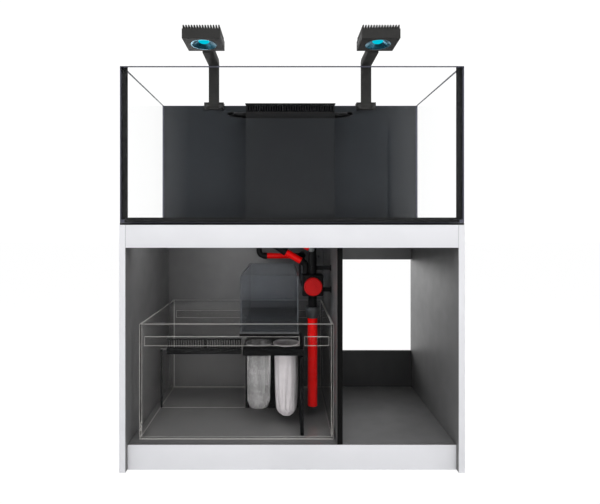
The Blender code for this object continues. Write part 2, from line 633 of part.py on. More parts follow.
def build_nozzle(side, name):
    """A flattened spout that swivels on the manifold's end and bends towards the front."""
    start = WEIR_WIDTH / 2 + GAP
    stations = 7
    bm = bmesh.new()
    rings = []
    for station in range(stations):
        share = station / (stations - 1)
        out = start + NOZZLE_REACH * math.sin(share * math.pi / 2)
        forward = NOZZLE_FORWARD * (1 - math.cos(share * math.pi / 2))
        heading = share * math.radians(60)
        width = RETURN_RADIUS * (1 + 0.5 * share)
        height = RETURN_RADIUS * (1 - 0.35 * share)
        ring = []
        for number in range(NOZZLE_RING_SIDES):
            angle = 2 * math.pi * number / NOZZLE_RING_SIDES
            aside = width * math.cos(angle)
            ring.append(bm.verts.new((
                side * (out + aside * math.sin(heading)),
                WEIR_PIPE_Y - forward + aside * math.cos(heading),
                MANIFOLD_Z + height * math.sin(angle))))
        rings.append(ring)
    for first, second in zip(rings, rings[1:]):
        for number in range(NOZZLE_RING_SIDES):
            after = (number + 1) % NOZZLE_RING_SIDES
            bm.faces.new((first[number], first[after], second[after], second[number]))
    bm.faces.new(rings[0])
    bm.faces.new(rings[-1])
    bmesh.ops.recalc_face_normals(bm, faces=bm.faces)
    nozzle = solid(name, bm, (side * start, WEIR_PIPE_Y, MANIFOLD_Z), BLACK_PLASTIC)
    join_rod(nozzle, "spigot", (side * (start - GAP - NOZZLE_SPIGOT_LENGTH), WEIR_PIPE_Y, MANIFOLD_Z),
             (side * (start + RETURN_RADIUS / 2), WEIR_PIPE_Y, MANIFOLD_Z), NOZZLE_SPIGOT_RADIUS)


# ------------------------------------------------------------------ plumbing in the cabinet
def build_plumbing():
    drain_foot = PIPE_FOOT_Z - GAP
    pipe("drain_pipe", bent([
        (DRAIN_X, WEIR_PIPE_Y, drain_foot), (DRAIN_X, WEIR_PIPE_Y, HIDDEN_RUN_Z),
        (DRAIN_X, VALVE_Y, HIDDEN_RUN_Z), (DRAIN_X, VALVE_Y, VALVE_TOP_Z - VALVE_SOCKET + GAP)],
        PIPE_BEND), DRAIN_RADIUS, BLACK_PLASTIC)

    emergency_top = RIM_Z - EMERGENCY_DROP
    start = Vector((BRANCH_RED_START[0], BRANCH_Y, BRANCH_RED_START[1]))
    end = Vector((BRANCH_RED_END[0], BRANCH_Y, BRANCH_RED_END[1]))
    slope = (end - start).normalized()
    entry = start - slope * ((HIDDEN_RUN_Z - start.z) / -slope.z)
    pipe("emergency_drain_pipe", bent([
        (EMERGENCY_X, WEIR_PIPE_Y, emergency_top), (EMERGENCY_X, WEIR_PIPE_Y, HIDDEN_RUN_Z),
        entry, start - slope * GAP], PIPE_BEND), BRANCH_RADIUS, BLACK_PLASTIC)
    pipe("branch_pipe", [start, end], BRANCH_RADIUS, RED_PLASTIC)
    corner = end + slope * ((BRANCH_X - end.x) / slope.x)
    pipe("branch_elbow", bent([
        end + slope * GAP, corner, (BRANCH_X, BRANCH_Y, VALVE_TOP_Z - BRANCH_SOCKET + GAP)],
        PIPE_BEND), BRANCH_RADIUS, BLACK_PLASTIC)

    pipe("return_elbow_left", bent([
        (RETURN_X, WEIR_PIPE_Y, drain_foot), (RETURN_X, WEIR_PIPE_Y, RETURN_RUN_Z),
        (RETURN_RED_LEFT_X, WEIR_PIPE_Y, RETURN_RUN_Z)], PIPE_BEND), RETURN_RADIUS, BLACK_PLASTIC)
    pipe("return_pipe", [
        Vector((RETURN_RED_LEFT_X + GAP, WEIR_PIPE_Y, RETURN_RUN_Z)),
        Vector((RETURN_RED_RIGHT_X, WEIR_PIPE_Y, RETURN_RUN_Z))], RETURN_RADIUS, RED_PLASTIC)
    pipe("return_elbow_right", bent([
        (RETURN_RED_RIGHT_X + GAP, WEIR_PIPE_Y, RETURN_RUN_Z),
        (RETURN_OUT_X, WEIR_PIPE_Y, RETURN_RUN_Z),
        (RETURN_OUT_X, BACK_BOARD_Y - GAP, RETURN_RUN_Z)], PIPE_BEND), RETURN_RADIUS, BLACK_PLASTIC)


def build_valve():
    """A ball valve: its body has the main inlet and a side inlet above, and one outlet below."""
    centre = Vector((DRAIN_X, VALVE_Y, VALVE_Z))
    front = VALVE_Y - VALVE_DEPTH / 2
    body = block("valve_body", (DRAIN_X - VALVE_WIDTH / 2, front, VALVE_BOTTOM_Z),
                 (DRAIN_X + VALVE_WIDTH / 2, VALVE_Y + VALVE_DEPTH / 2, VALVE_TOP_Z), BLACK_PLASTIC)
    join_rod(body, "outlet", (DRAIN_X, VALVE_Y, VALVE_BOTTOM_Z + VALVE_SOCKET / 2),
             (DRAIN_X, VALVE_Y, OUTLET_BOTTOM_Z), OUTLET_RADIUS)
    past = Vector((0, 0, VALVE_SOCKET))
    cut_rod(body, "bore", Vector((DRAIN_X, VALVE_Y, OUTLET_BOTTOM_Z)) - past,
            Vector((DRAIN_X, VALVE_Y, VALVE_TOP_Z)) + past, VALVE_BORE_RADIUS)
    cut_rod(body, "inlet_socket", (DRAIN_X, VALVE_Y, VALVE_TOP_Z - VALVE_SOCKET),
            (DRAIN_X, VALVE_Y, VALVE_TOP_Z + VALVE_SOCKET), DRAIN_RADIUS + GAP)
    cut_rod(body, "branch_socket", (BRANCH_X, BRANCH_Y, VALVE_TOP_Z - BRANCH_SOCKET),
            (BRANCH_X, BRANCH_Y, VALVE_TOP_Z + BRANCH_SOCKET), BRANCH_RADIUS + GAP)
    cut_rod(body, "stem_hole", centre, (DRAIN_X, front - KNOB_THICKNESS, VALVE_Z), STEM_RADIUS + GAP)
    bm = bmesh.new()
    bmesh.ops.create_uvsphere(bm, u_segments=24, v_segments=16, radius=BALL_RADIUS + GAP,
                              matrix=Matrix.Translation(centre))
    combine(body, "DIFFERENCE", helper("valve_body_ball_seat", bm))

    bm = bmesh.new()
    bmesh.ops.create_uvsphere(bm, u_segments=24, v_segments=16, radius=BALL_RADIUS,
                              matrix=Matrix.Translation(centre))
    ball = solid("valve_ball", bm, centre, STEEL)
    reach = Vector((0, 0, BALL_RADIUS * 1.5))
    cut_rod(ball, "bore", centre - reach, centre + reach, VALVE_BORE_RADIUS)

    knob_back = front - KNOB_STANDOFF
    bm = bmesh.new()
    add_rod(bm, (DRAIN_X, knob_back, VALVE_Z), (DRAIN_X, knob_back - KNOB_THICKNESS, VALVE_Z), KNOB_RADIUS)
    knob = solid("valve_knob", bm, centre, RED_PLASTIC)
    join_rod(knob, "stem", (DRAIN_X, VALVE_Y - BALL_RADIUS - GAP, VALVE_Z),
             (DRAIN_X, knob_back - KNOB_THICKNESS / 2, VALVE_Z), STEM_RADIUS)
    carry(mounting_point("valve_axis", centre), ball, knob)


def build_downpipe():
    pipe_top = OUTLET_BOTTOM_Z - GAP - DOWNPIPE_BOTTOM_Z
    turned("downpipe", (DRAIN_X, VALVE_Y, DOWNPIPE_BOTTOM_Z), [
        (DOWNPIPE_RADIUS, pipe_top), (DOWNPIPE_RADIUS, 0),
        (DOWNPIPE_RADIUS - PIPE_WALL, 0), (DOWNPIPE_RADIUS - PIPE_WALL, pipe_top)],
        RED_PLASTIC, ring=True)
    inner = DOWNPIPE_RADIUS + GAP
    lip = OUTLET_RADIUS + GAP
    low = UNION_TOP_Z - UNION_HEIGHT
    shoulder = UNION_HEIGHT - UNION_FLANGE
    turned("union_nut", (DRAIN_X, VALVE_Y, low), [
        (UNION_RADIUS, UNION_HEIGHT), (UNION_RADIUS, shoulder),
        (inner + UNION_WALL, 0), (inner, 0), (inner, UNION_HEIGHT - UNION_LIP),
        (lip, UNION_HEIGHT - UNION_LIP), (lip, UNION_HEIGHT)], GREY_PLASTIC, ring=True)


def build_clips():
    """Two brackets that tie the pipework to the divider: a C round the drain, and a stay on the valve."""
    wall = DIVIDER_LEFT_X - GAP
    plate = wall - CLIP_PLATE_THICKNESS
    arm = (VALVE_Y - CLIP_ARM_DEPTH / 2, VALVE_Y + CLIP_ARM_DEPTH / 2)
    wide = (VALVE_Y - CLIP_PLATE_DEPTH / 2, VALVE_Y + CLIP_PLATE_DEPTH / 2)
    outer = DRAIN_RADIUS + GAP + CLIP_WALL
    z0, z1 = UPPER_CLIP_Z, UPPER_CLIP_Z + CLIP_HEIGHT
    bm = bmesh.new()
    add_rod(bm, (DRAIN_X, VALVE_Y, z0), (DRAIN_X, VALVE_Y, z1), outer)
    clip = solid("pipe_clip_upper", bm, (DRAIN_X, VALVE_Y, z0), BLACK_PLASTIC)
    join_box(clip, "arm", (DRAIN_X + DRAIN_RADIUS + CLIP_WALL / 2, arm[0], z0), (wall - GAP, arm[1], z1))
    join_box(clip, "plate", (plate, wide[0], z0 - CLIP_WALL), (wall, wide[1], z1 + CLIP_WALL))
    cut_rod(clip, "bore", (DRAIN_X, VALVE_Y, z0 - outer), (DRAIN_X, VALVE_Y, z1 + outer),
            DRAIN_RADIUS + GAP)
    cut_boxes(clip, "mouth", [(
        (DRAIN_X - 2 * outer, VALVE_Y - 2 * outer, z0 - outer),
        (DRAIN_X - CLIP_WALL, VALVE_Y + 2 * outer, z1 + outer))])

    z0, z1 = LOWER_CLIP_Z, LOWER_CLIP_Z + CLIP_HEIGHT
    stay = block("pipe_clip_lower", (DRAIN_X + VALVE_WIDTH / 2 + GAP, arm[0], z0),
                 (wall - GAP, arm[1], z1), BLACK_PLASTIC)
    join_box(stay, "plate", (plate, wide[0], z0 - CLIP_WALL), (wall, wide[1], z1 + CLIP_WALL))


# ------------------------------------------------------------------ sump
def build_sump():
    sump = block("sump_tank", (SUMP_LEFT_X, SUMP_FRONT_Y, SUMP_BOTTOM_Z),
                 (SUMP_RIGHT_X, SUMP_BACK_Y, SUMP_RIM_Z), CLEAR_GLASS)
    inside_right = SUMP_RIGHT_X - SUMP_GLASS
    cut_boxes(sump, "inside", [(
        (SUMP_INSIDE_LEFT_X, SUMP_INSIDE_FRONT_Y, SUMP_FLOOR_Z),
        (inside_right, SUMP_INSIDE_BACK_Y, SUMP_RIM_Z + SUMP_GLASS))])
    join_box(sump, "partition", (SUMP_LEFT_X + SUMP_GLASS / 2, PARTITION_Y, SUMP_BOTTOM_Z + SUMP_GLASS / 2),
             (BAFFLE_LEFT_X - GAP, PARTITION_Y + PARTITION_THICKNESS, PARTITION_TOP_Z))

    brace_z = BRACE_TOP_Z - BRACE_HEIGHT
    front = (SUMP_INSIDE_FRONT_Y + GAP, SUMP_INSIDE_FRONT_Y + GAP + BRACE_THICKNESS)
    back = (SUMP_INSIDE_BACK_Y - GAP - BRACE_THICKNESS, SUMP_INSIDE_BACK_Y - GAP)
    left, right = SUMP_INSIDE_LEFT_X + BRACE_END_CLEAR, inside_right - BRACE_END_CLEAR
    block("brace_front_long", (left, front[0], brace_z), (BRACE_SPLIT_X[0], front[1], BRACE_TOP_Z),
          CLEAR_GLASS)
    block("brace_front_short", (BRACE_SPLIT_X[1], front[0], brace_z), (right, front[1], BRACE_TOP_Z),
          CLEAR_GLASS)
    block("brace_rear", (left, back[0], brace_z), (right, back[1], BRACE_TOP_Z), CLEAR_GLASS)

    baffle = block("filter_baffle", (BAFFLE_LEFT_X, PARTITION_Y, SUMP_FLOOR_Z + GAP),
                   (BAFFLE_RIGHT_X, PARTITION_Y + PARTITION_THICKNESS, BAFFLE_TOP_Z), BLACK_ACRYLIC)
    join_box(baffle, "side", (BAFFLE_SIDE_X, front[1] + GAP, SUMP_FLOOR_Z + GAP),
             (BAFFLE_RIGHT_X, PARTITION_Y + PARTITION_THICKNESS / 2, BAFFLE_TOP_Z))


def build_sump_comb():
    """A slotted strip whose grooved foot straddles the partition's top edge."""
    foot_z = PARTITION_TOP_Z - SUMP_COMB_FOOT
    rest_z = PARTITION_TOP_Z + GAP
    front, back = PARTITION_Y - SUMP_COMB_CHEEK, PARTITION_Y + PARTITION_THICKNESS + SUMP_COMB_CHEEK
    comb = block("sump_comb", (SUMP_COMB_LEFT_X, PARTITION_Y, rest_z),
                 (SUMP_COMB_RIGHT_X, PARTITION_Y + PARTITION_THICKNESS, SUMP_COMB_TOP_Z), BLACK_PLASTIC)
    join_box(comb, "foot", (SUMP_COMB_LEFT_X, front, foot_z),
             (SUMP_COMB_RIGHT_X, back, rest_z + GAP + SUMP_COMB_CHEEK / 2))
    past = SUMP_COMB_FOOT
    cut_boxes(comb, "groove", [(
        (SUMP_COMB_LEFT_X - past, PARTITION_Y - GAP, foot_z - past),
        (SUMP_COMB_RIGHT_X + past, PARTITION_Y + PARTITION_THICKNESS + GAP, rest_z))])
    pitch = (SUMP_COMB_RIGHT_X - SUMP_COMB_LEFT_X) / (SUMP_COMB_SLOTS + 1)
    low, high = rest_z + SUMP_COMB_CHEEK, SUMP_COMB_TOP_Z - SUMP_COMB_TOP_BAR
    slots = []
    for number in range(SUMP_COMB_SLOTS):
        if number == SUMP_COMB_SLOTS // 2:
            continue
        middle = SUMP_COMB_LEFT_X + (number + 1) * pitch
        slots.append(((middle - SUMP_COMB_SLOT_WIDTH / 2, front - past, low),
                      (middle + SUMP_COMB_SLOT_WIDTH / 2, back + past, high)))
    cut_boxes(comb, "slots", slots)


def build_filters():
    holder = block("cup_holder", (HOLDER_LEFT_X, HOLDER_FRONT_Y, HOLDER_BOTTOM_Z),
                   (BAFFLE_RIGHT_X, PARTITION_Y + PARTITION_THICKNESS, HOLDER_TOP_Z), BLACK_ACRYLIC)
    for x, name in ((MEDIA_CUP_X, "cup_hole"), (SOCK_X, "sock_hole")):
        cut_rod(holder, name, (x, CUP_Y, HOLDER_BOTTOM_Z - CUP_RADIUS),
                (x, CUP_Y, HOLDER_TOP_Z + CUP_RADIUS), CUP_RADIUS + SLIDE_GAP)
    rim_z = HOLDER_TOP_Z + GAP
    turned("media_cup", (MEDIA_CUP_X, CUP_Y, rim_z),
           cup_profile(rim_z - MEDIA_CUP_BOTTOM_Z, CUP_WALL, CUP_RADIUS * 0.2), CLEAR_PLASTIC)
    turned("filter_sock", (SOCK_X, CUP_Y, rim_z),
           cup_profile(rim_z - SOCK_BOTTOM_Z, SOCK_WALL, CUP_RADIUS * 0.65), WHITE_FELT)


def cup_profile(depth, wall, corner):
    """A hanging cup: a rim that rests on the holder, a straight wall, a rounded bottom, then its inside."""
    def rounded(radius, low, fillet):
        arc = []
        for step in range(5):
            angle = math.pi / 2 * step / 4
            arc.append((radius - fillet * (1 - math.cos(angle)), low + fillet * (1 - math.sin(angle))))
        return arc
    outside = [(CUP_RADIUS + CUP_RIM_WIDTH, CUP_RIM_THICKNESS), (CUP_RADIUS + CUP_RIM_WIDTH, 0),
               (CUP_RADIUS, 0)] + rounded(CUP_RADIUS, -depth, corner) + [(0, -depth)]
    inside = [(0, wall - depth)] + rounded(CUP_RADIUS - wall, wall - depth, corner - wall)[::-1]
    return outside + inside + [(CUP_RADIUS - wall, CUP_RIM_THICKNESS)] + outside[:1]


def build_reservoir():
    base_top = RESERVOIR_BOTTOM_Z + RESERVOIR_BASE_THICKNESS
    front, back = SUMP_INSIDE_FRONT_Y + GAP, SUMP_INSIDE_BACK_Y - GAP
    base = block("reservoir_base", (RESERVOIR_LEFT_X, front, RESERVOIR_BOTTOM_Z),
                 (RESERVOIR_RIGHT_X, back, base_top), BLACK_ACRYLIC)
    low = Vector((RESERVOIR_LEFT_X + RESERVOIR_INSET, front + RESERVOIR_INSET, base_top + GAP))
    high = Vector((RESERVOIR_RIGHT_X - RESERVOIR_INSET, back - RESERVOIR_INSET, base_top + GAP + RESERVOIR_HEIGHT))
    tank = block("reservoir", low, high, SMOKED_ACRYLIC)
    wall = Vector((RESERVOIR_WALL, RESERVOIR_WALL, RESERVOIR_WALL))
    above = Vector((-RESERVOIR_WALL, -RESERVOIR_WALL, RESERVOIR_WALL))
    cut_boxes(tank, "inside", [(low + wall, high + above)])
    carry(mounting_point("reservoir_lift", (low.x, low.y, RESERVOIR_BOTTOM_Z)), base, tank)


# ------------------------------------------------------------------ lights
def build_light(side, name):
    """A finned fixture that slides on the tongue of a bent arm clamped over the rear pane."""
    x = side * LIGHT_X
    half = LIGHT_WIDTH / 2
    channel_z = (TONGUE_BOTTOM_Z - SLIDE_GAP, TONGUE_BOTTOM_Z + TONGUE_THICKNESS + SLIDE_GAP)
    housing = block(f"light_housing_{name}", (x - half, LIGHT_FRONT_Y, LIGHT_BOTTOM_Z),
                    (x + half, LIGHT_BACK_Y, LIGHT_TOP_Z), BLACK_ALUMINIUM)
    pitch = LIGHT_WIDTH / (LIGHT_FINS + 1)
    slots = []
    for number in range(LIGHT_FINS):
        middle = x - half + (number + 1) * pitch
        slots.append(((middle - FIN_SLOT_WIDTH / 2, LIGHT_FRONT_Y - FIN_DEPTH, LIGHT_TOP_Z - FIN_DEPTH),
                      (middle + FIN_SLOT_WIDTH / 2, LIGHT_BACK_Y + FIN_DEPTH, LIGHT_TOP_Z + FIN_DEPTH)))
    cut_boxes(housing, "fin_gaps", slots)
    tongue_half = TONGUE_WIDTH / 2
    tongue_tip_y = LIGHT_BACK_Y - TONGUE_IN_LIGHT
    cut_boxes(housing, "channel", [(
        (x - tongue_half - SLIDE_GAP, tongue_tip_y - LIGHT_SLIDE_BACK - SLIDE_GAP, channel_z[0]),
        (x + tongue_half + SLIDE_GAP, LIGHT_BACK_Y + FIN_DEPTH, channel_z[1]))])
    lamp_y = (LIGHT_FRONT_Y + LIGHT_BACK_Y) / 2
    cut_rod(housing, "lamp_recess", (x, lamp_y, LIGHT_BOTTOM_Z - LED_RECESS_DEPTH),
            (x, lamp_y, LIGHT_BOTTOM_Z + LED_RECESS_DEPTH), LED_RECESS_RADIUS + GAP)
    module = turned(f"led_module_{name}", (x, lamp_y, LIGHT_BOTTOM_Z + GAP), [
        (0, LED_RECESS_DEPTH - 2 * GAP), (LED_RECESS_RADIUS, LED_RECESS_DEPTH - 2 * GAP),
        (LED_RECESS_RADIUS, 0), (LED_RECESS_RADIUS - LED_LIP, 0),
        (LED_PLATE_RADIUS, LED_CONE_DEPTH), (0, LED_CONE_DEPTH)], BLUE_LENS)
    carry(mounting_point(f"light_slide_{name}", (x, LIGHT_BACK_Y, TONGUE_BOTTOM_Z)), housing, module)
    build_arm(x, tongue_tip_y, name)


def build_arm(x, tongue_tip_y, name):
    """A post bent forward into a bar with a tongue, on a saddle that grips the rear pane."""
    post_back = POST_FRONT_Y + POST_THICKNESS
    bar_top = ARM_BAR_BOTTOM_Z + ARM_BAR_HEIGHT
    bar_front = LIGHT_BACK_Y + LIGHT_SLIDE_BACK + SLIDE_GAP
    saddle_top = RIM_Z + GAP + CLAMP_BRIDGE
    bend = []
    for step in range(7):
        angle = math.pi / 2 * step / 6
        bend.append((post_back - ARM_BEND * (1 - math.cos(angle)), bar_top - ARM_BEND * (1 - math.sin(angle))))
    points = [(POST_FRONT_Y, saddle_top - CLAMP_BRIDGE / 2), (post_back, saddle_top - CLAMP_BRIDGE / 2)]
    points += bend + [(bar_front, bar_top), (bar_front, ARM_BAR_BOTTOM_Z), (POST_FRONT_Y, ARM_BAR_BOTTOM_Z)]
    upright = Matrix(((0, 0, 1, x), (1, 0, 0, 0), (0, 1, 0, 0), (0, 0, 0, 1)))
    arm = outline(f"light_arm_{name}", points, ARM_WIDTH, upright, BLACK_ALUMINIUM)
    half = TONGUE_WIDTH / 2
    join_box(arm, "tongue", (x - half, tongue_tip_y, TONGUE_BOTTOM_Z),
             (x + half, bar_front + ARM_BEND, TONGUE_BOTTOM_Z + TONGUE_THICKNESS))
    clamp_half = CLAMP_WIDTH / 2
    join_box(arm, "saddle", (x - clamp_half, POST_FRONT_Y - GAP / 2, RIM_Z - CLAMP_FRONT_DROP),
             (x + clamp_half, TANK_BACK_Y + GAP + CLAMP_JAW, saddle_top))
    join_box(arm, "rear_jaw", (x - clamp_half, TANK_BACK_Y + GAP, RIM_Z - CLAMP_REAR_DROP),
             (x + clamp_half, TANK_BACK_Y + GAP + CLAMP_JAW, RIM_Z))
    cut_boxes(arm, "pane_slot", [(
        (x - CLAMP_WIDTH, REAR_PANE_Y - GAP, RIM_Z - 2 * CLAMP_REAR_DROP),
        (x + CLAMP_WIDTH, TANK_BACK_Y + GAP, RIM_Z + GAP))])
    screw_z = RIM_Z - SCREW_DROP
    for side, part in ((-1, "a"), (1, "b")):
        screw_x = x + side * SCREW_OFFSET
        cut_rod(arm, f"screw_hole_{part}", (screw_x, POST_FRONT_Y - CLAMP_JAW, screw_z),
                (screw_x, REAR_PANE_Y + GAP, screw_z), SCREW_RADIUS + GAP)
        head_back = POST_FRONT_Y - SCREW_HEAD_STANDOFF
        bm = bmesh.new()
        add_rod(bm, (screw_x, head_back, screw_z), (screw_x, head_back - SCREW_HEAD_LENGTH, screw_z),
                SCREW_HEAD_RADIUS)
        screw = solid(f"thumbscrew_{name}_{part}", bm, (screw_x, REAR_PANE_Y, screw_z), BLACK_PLASTIC)
        join_rod(screw, "shank", (screw_x, REAR_PANE_Y - GAP, screw_z),
                 (screw_x, head_back - SCREW_HEAD_LENGTH / 2, screw_z), SCREW_RADIUS)


build_cabinet()
build_tank()
build_weir()
build_weir_pipes()
build_plumbing()
build_valve()
build_downpipe()
build_clips()
build_sump()
build_sump_comb()
build_filters()
build_reservoir()
build_light(-1, "left")
build_light(1, "right")

for obj in PARTS.objects:
    if obj.type == "MESH":
        obj.data.shade_smooth()
        obj.data.set_sharp_from_angle(angle=math.radians(30))
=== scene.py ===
"""A rimless reef aquarium on its open-fronted cabinet: finished meshes, materials, soft light and camera."""
import math

import bmesh
import bpy
from mathutils import Matrix, Vector


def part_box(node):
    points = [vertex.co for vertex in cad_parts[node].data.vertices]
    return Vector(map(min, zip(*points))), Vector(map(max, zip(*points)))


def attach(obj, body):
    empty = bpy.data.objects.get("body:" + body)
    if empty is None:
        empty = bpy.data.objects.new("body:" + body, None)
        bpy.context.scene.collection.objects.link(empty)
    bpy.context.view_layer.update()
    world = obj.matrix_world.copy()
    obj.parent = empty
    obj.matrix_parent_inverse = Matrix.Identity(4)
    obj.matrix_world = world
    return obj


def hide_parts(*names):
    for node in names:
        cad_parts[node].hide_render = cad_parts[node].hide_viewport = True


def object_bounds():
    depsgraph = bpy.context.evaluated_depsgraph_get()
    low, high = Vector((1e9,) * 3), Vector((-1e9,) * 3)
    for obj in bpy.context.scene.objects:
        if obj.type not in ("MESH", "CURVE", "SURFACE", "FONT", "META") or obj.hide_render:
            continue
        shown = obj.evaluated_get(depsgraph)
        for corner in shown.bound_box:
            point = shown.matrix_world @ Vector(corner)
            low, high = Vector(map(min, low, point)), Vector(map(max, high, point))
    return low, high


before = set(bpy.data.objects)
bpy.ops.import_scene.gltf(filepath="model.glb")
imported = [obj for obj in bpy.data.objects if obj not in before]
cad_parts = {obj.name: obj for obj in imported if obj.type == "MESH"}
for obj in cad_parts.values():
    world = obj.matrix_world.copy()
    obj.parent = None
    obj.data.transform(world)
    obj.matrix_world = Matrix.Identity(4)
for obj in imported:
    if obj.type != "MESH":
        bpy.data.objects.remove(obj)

cad_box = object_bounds()
for leftover in ("Cube", "Light", "Camera"):
    if leftover in bpy.data.objects:
        bpy.data.objects.remove(bpy.data.objects[leftover], do_unlink=True)


# ---------------------------------------------------------------- camera and studio
# The camera looks straight at the back wall from a little over the tank's floor. The floor and the
# surroundings are plain white. Soft lamps stand low in front, overhead and at the sides, with one more
# behind the rear opening and a small one in the left bay.
camera = bpy.data.objects.new("studio_camera", bpy.data.cameras.new("studio_camera"))
camera.data.lens = 27.1
camera.data.sensor_width = 36.0
camera.data.shift_x = 0.0267
camera.data.shift_y = -0.05
camera.location = (-0.028, cad_box[0].y - 1.573, 0.874)
camera.rotation_euler = (math.radians(90), 0, 0)
bpy.context.scene.collection.objects.link(camera)
bpy.context.scene.camera = camera
bpy.context.scene.view_settings.view_transform = "Standard"


def soft_lamp(name, place, aim, size, power, colour=(1, 1, 1)):
    lamp = bpy.data.lights.new(name, "AREA")
    lamp.shape = "RECTANGLE"
    lamp.size, lamp.size_y = size
    lamp.energy = power
    lamp.color = colour
    obj = bpy.data.objects.new(name, lamp)
    obj.location = place
    obj.rotation_euler = (Vector(aim) - Vector(place)).to_track_quat("-Z", "Y").to_euler()
    bpy.context.scene.collection.objects.link(obj)


soft_lamp("low_front_softbox", (0.3, -3.7, 0.42), (0, 0, 0.5), (4.6, 0.7), 30)
soft_lamp("overhead_softbox", (0.0, -2.0, 2.9), (0, 0, 0.6), (3.0, 1.2), 34)
soft_lamp("left_softbox", (-3.2, -0.6, 1.9), (0, 0, 0.9), (2.0, 2.2), 14)
soft_lamp("right_softbox", (3.2, -0.6, 1.9), (0, 0, 0.9), (2.0, 2.2), 14)
soft_lamp("rear_opening_softbox", (-0.5, 1.7, 0.9), (0.5, 0.1, 0.5), (0.9, 0.9), 13)
soft_lamp("left_bay_fill", (-0.30, -0.258, 0.812), (-0.30, 0.25, 0.76), (0.36, 0.03), 0.80)

ROOM_SHADE = 0.10   # how bright the unlit wedge of the room in front of the aquarium shows in reflections


def added(tree, kind, inputs={}, **settings):
    """Adds a node with its settings. An input is given a value, or another node's output to be linked to."""
    node = tree.nodes.new(kind)
    for name, value in settings.items():
        setattr(node, name, value)
    for name, value in inputs.items():
        if isinstance(value, bpy.types.NodeSocket):
            tree.links.new(value, node.inputs[name])
        else:
            node.inputs[name].default_value = value
    return node


def maths(tree, operation, *values, clamp=True):
    return added(tree, "ShaderNodeMath", dict(enumerate(values)), operation=operation,
                 use_clamp=clamp).outputs[0]


def shown_white(tree, output):
    """How white the surroundings show: fully in a direct view, and in a mirror or through glass except in the
    unlit wedge of the room in front of the aquarium. The second value is 1 for all of these rays."""
    path = added(tree, "ShaderNodeLightPath").outputs
    place = added(tree, "ShaderNodeTexCoord").outputs[output]
    level = added(tree, "ShaderNodeVectorMath", {0: place, 1: (1, 1, 0)}, operation="MULTIPLY")
    unit = added(tree, "ShaderNodeVectorMath", {0: level.outputs[0]}, operation="NORMALIZE")
    facing = added(tree, "ShaderNodeSeparateXYZ", {0: unit.outputs[0]})
    fade = added(tree, "ShaderNodeMapRange",
                 {"Value": facing.outputs["Y"], "From Min": -0.955, "From Max": -0.984,
                                              "To Min": 1.0, "To Max": ROOM_SHADE},
                 interpolation_type="SMOOTHSTEP")
    mirrored = maths(tree, "MAXIMUM", path["Is Glossy Ray"], path["Is Transmission Ray"])
    shade = maths(tree, "MULTIPLY", mirrored, fade.outputs["Result"])
    return [maths(tree, "MAXIMUM", path["Is Camera Ray"], value) for value in (shade, mirrored)]


world = bpy.data.worlds.new("studio")
bpy.context.scene.world = world
world.use_nodes = True
sky = world.node_tree
ambient = sky.nodes["Background"]
ambient.inputs["Color"].default_value = (0.97, 0.98, 1.0, 1)
ambient.inputs["Strength"].default_value = 0.42
strength, seen = shown_white(sky, "Generated")
white = added(sky, "ShaderNodeBackground", {"Color": (1.06, 1.06, 1.06, 1), "Strength": strength})
choose = added(sky, "ShaderNodeMixShader", {0: seen, 1: ambient.outputs[0], 2: white.outputs[0]})
sky.links.new(choose.outputs[0], sky.nodes["World Output"].inputs["Surface"])

floor_mesh = bpy.data.meshes.new("studio_floor")
slab = bmesh.new()
bmesh.ops.create_grid(slab, x_segments=8, y_segments=8, size=14)
bmesh.ops.translate(slab, verts=slab.verts, vec=(0, 4, -0.0005))
slab.to_mesh(floor_mesh)
slab.free()
studio_floor = bpy.data.objects.new("studio_floor", floor_mesh)
bpy.context.scene.collection.objects.link(studio_floor)
floor_paint = bpy.data.materials.new("studio_floor")
floor_paint.use_nodes = True
paint = floor_paint.node_tree
matt = paint.nodes["Principled BSDF"]
for socket, value in (("Base Color", (0.86, 0.86, 0.86, 1)), ("Roughness", 0.9), ("Specular IOR Level", 0.0)):
    matt.inputs[socket].default_value = value
strength, seen = shown_white(paint, "Object")
glow = added(paint, "ShaderNodeEmission", {"Color": (1.07, 1.07, 1.07, 1), "Strength": strength})
blend = added(paint, "ShaderNodeMixShader", {0: maths(paint, "MULTIPLY", seen, 0.9), 1: matt.outputs[0],
                                             2: glow.outputs[0]})
paint.links.new(blend.outputs[0], paint.nodes["Material Output"].inputs["Surface"])
floor_mesh.materials.append(floor_paint)


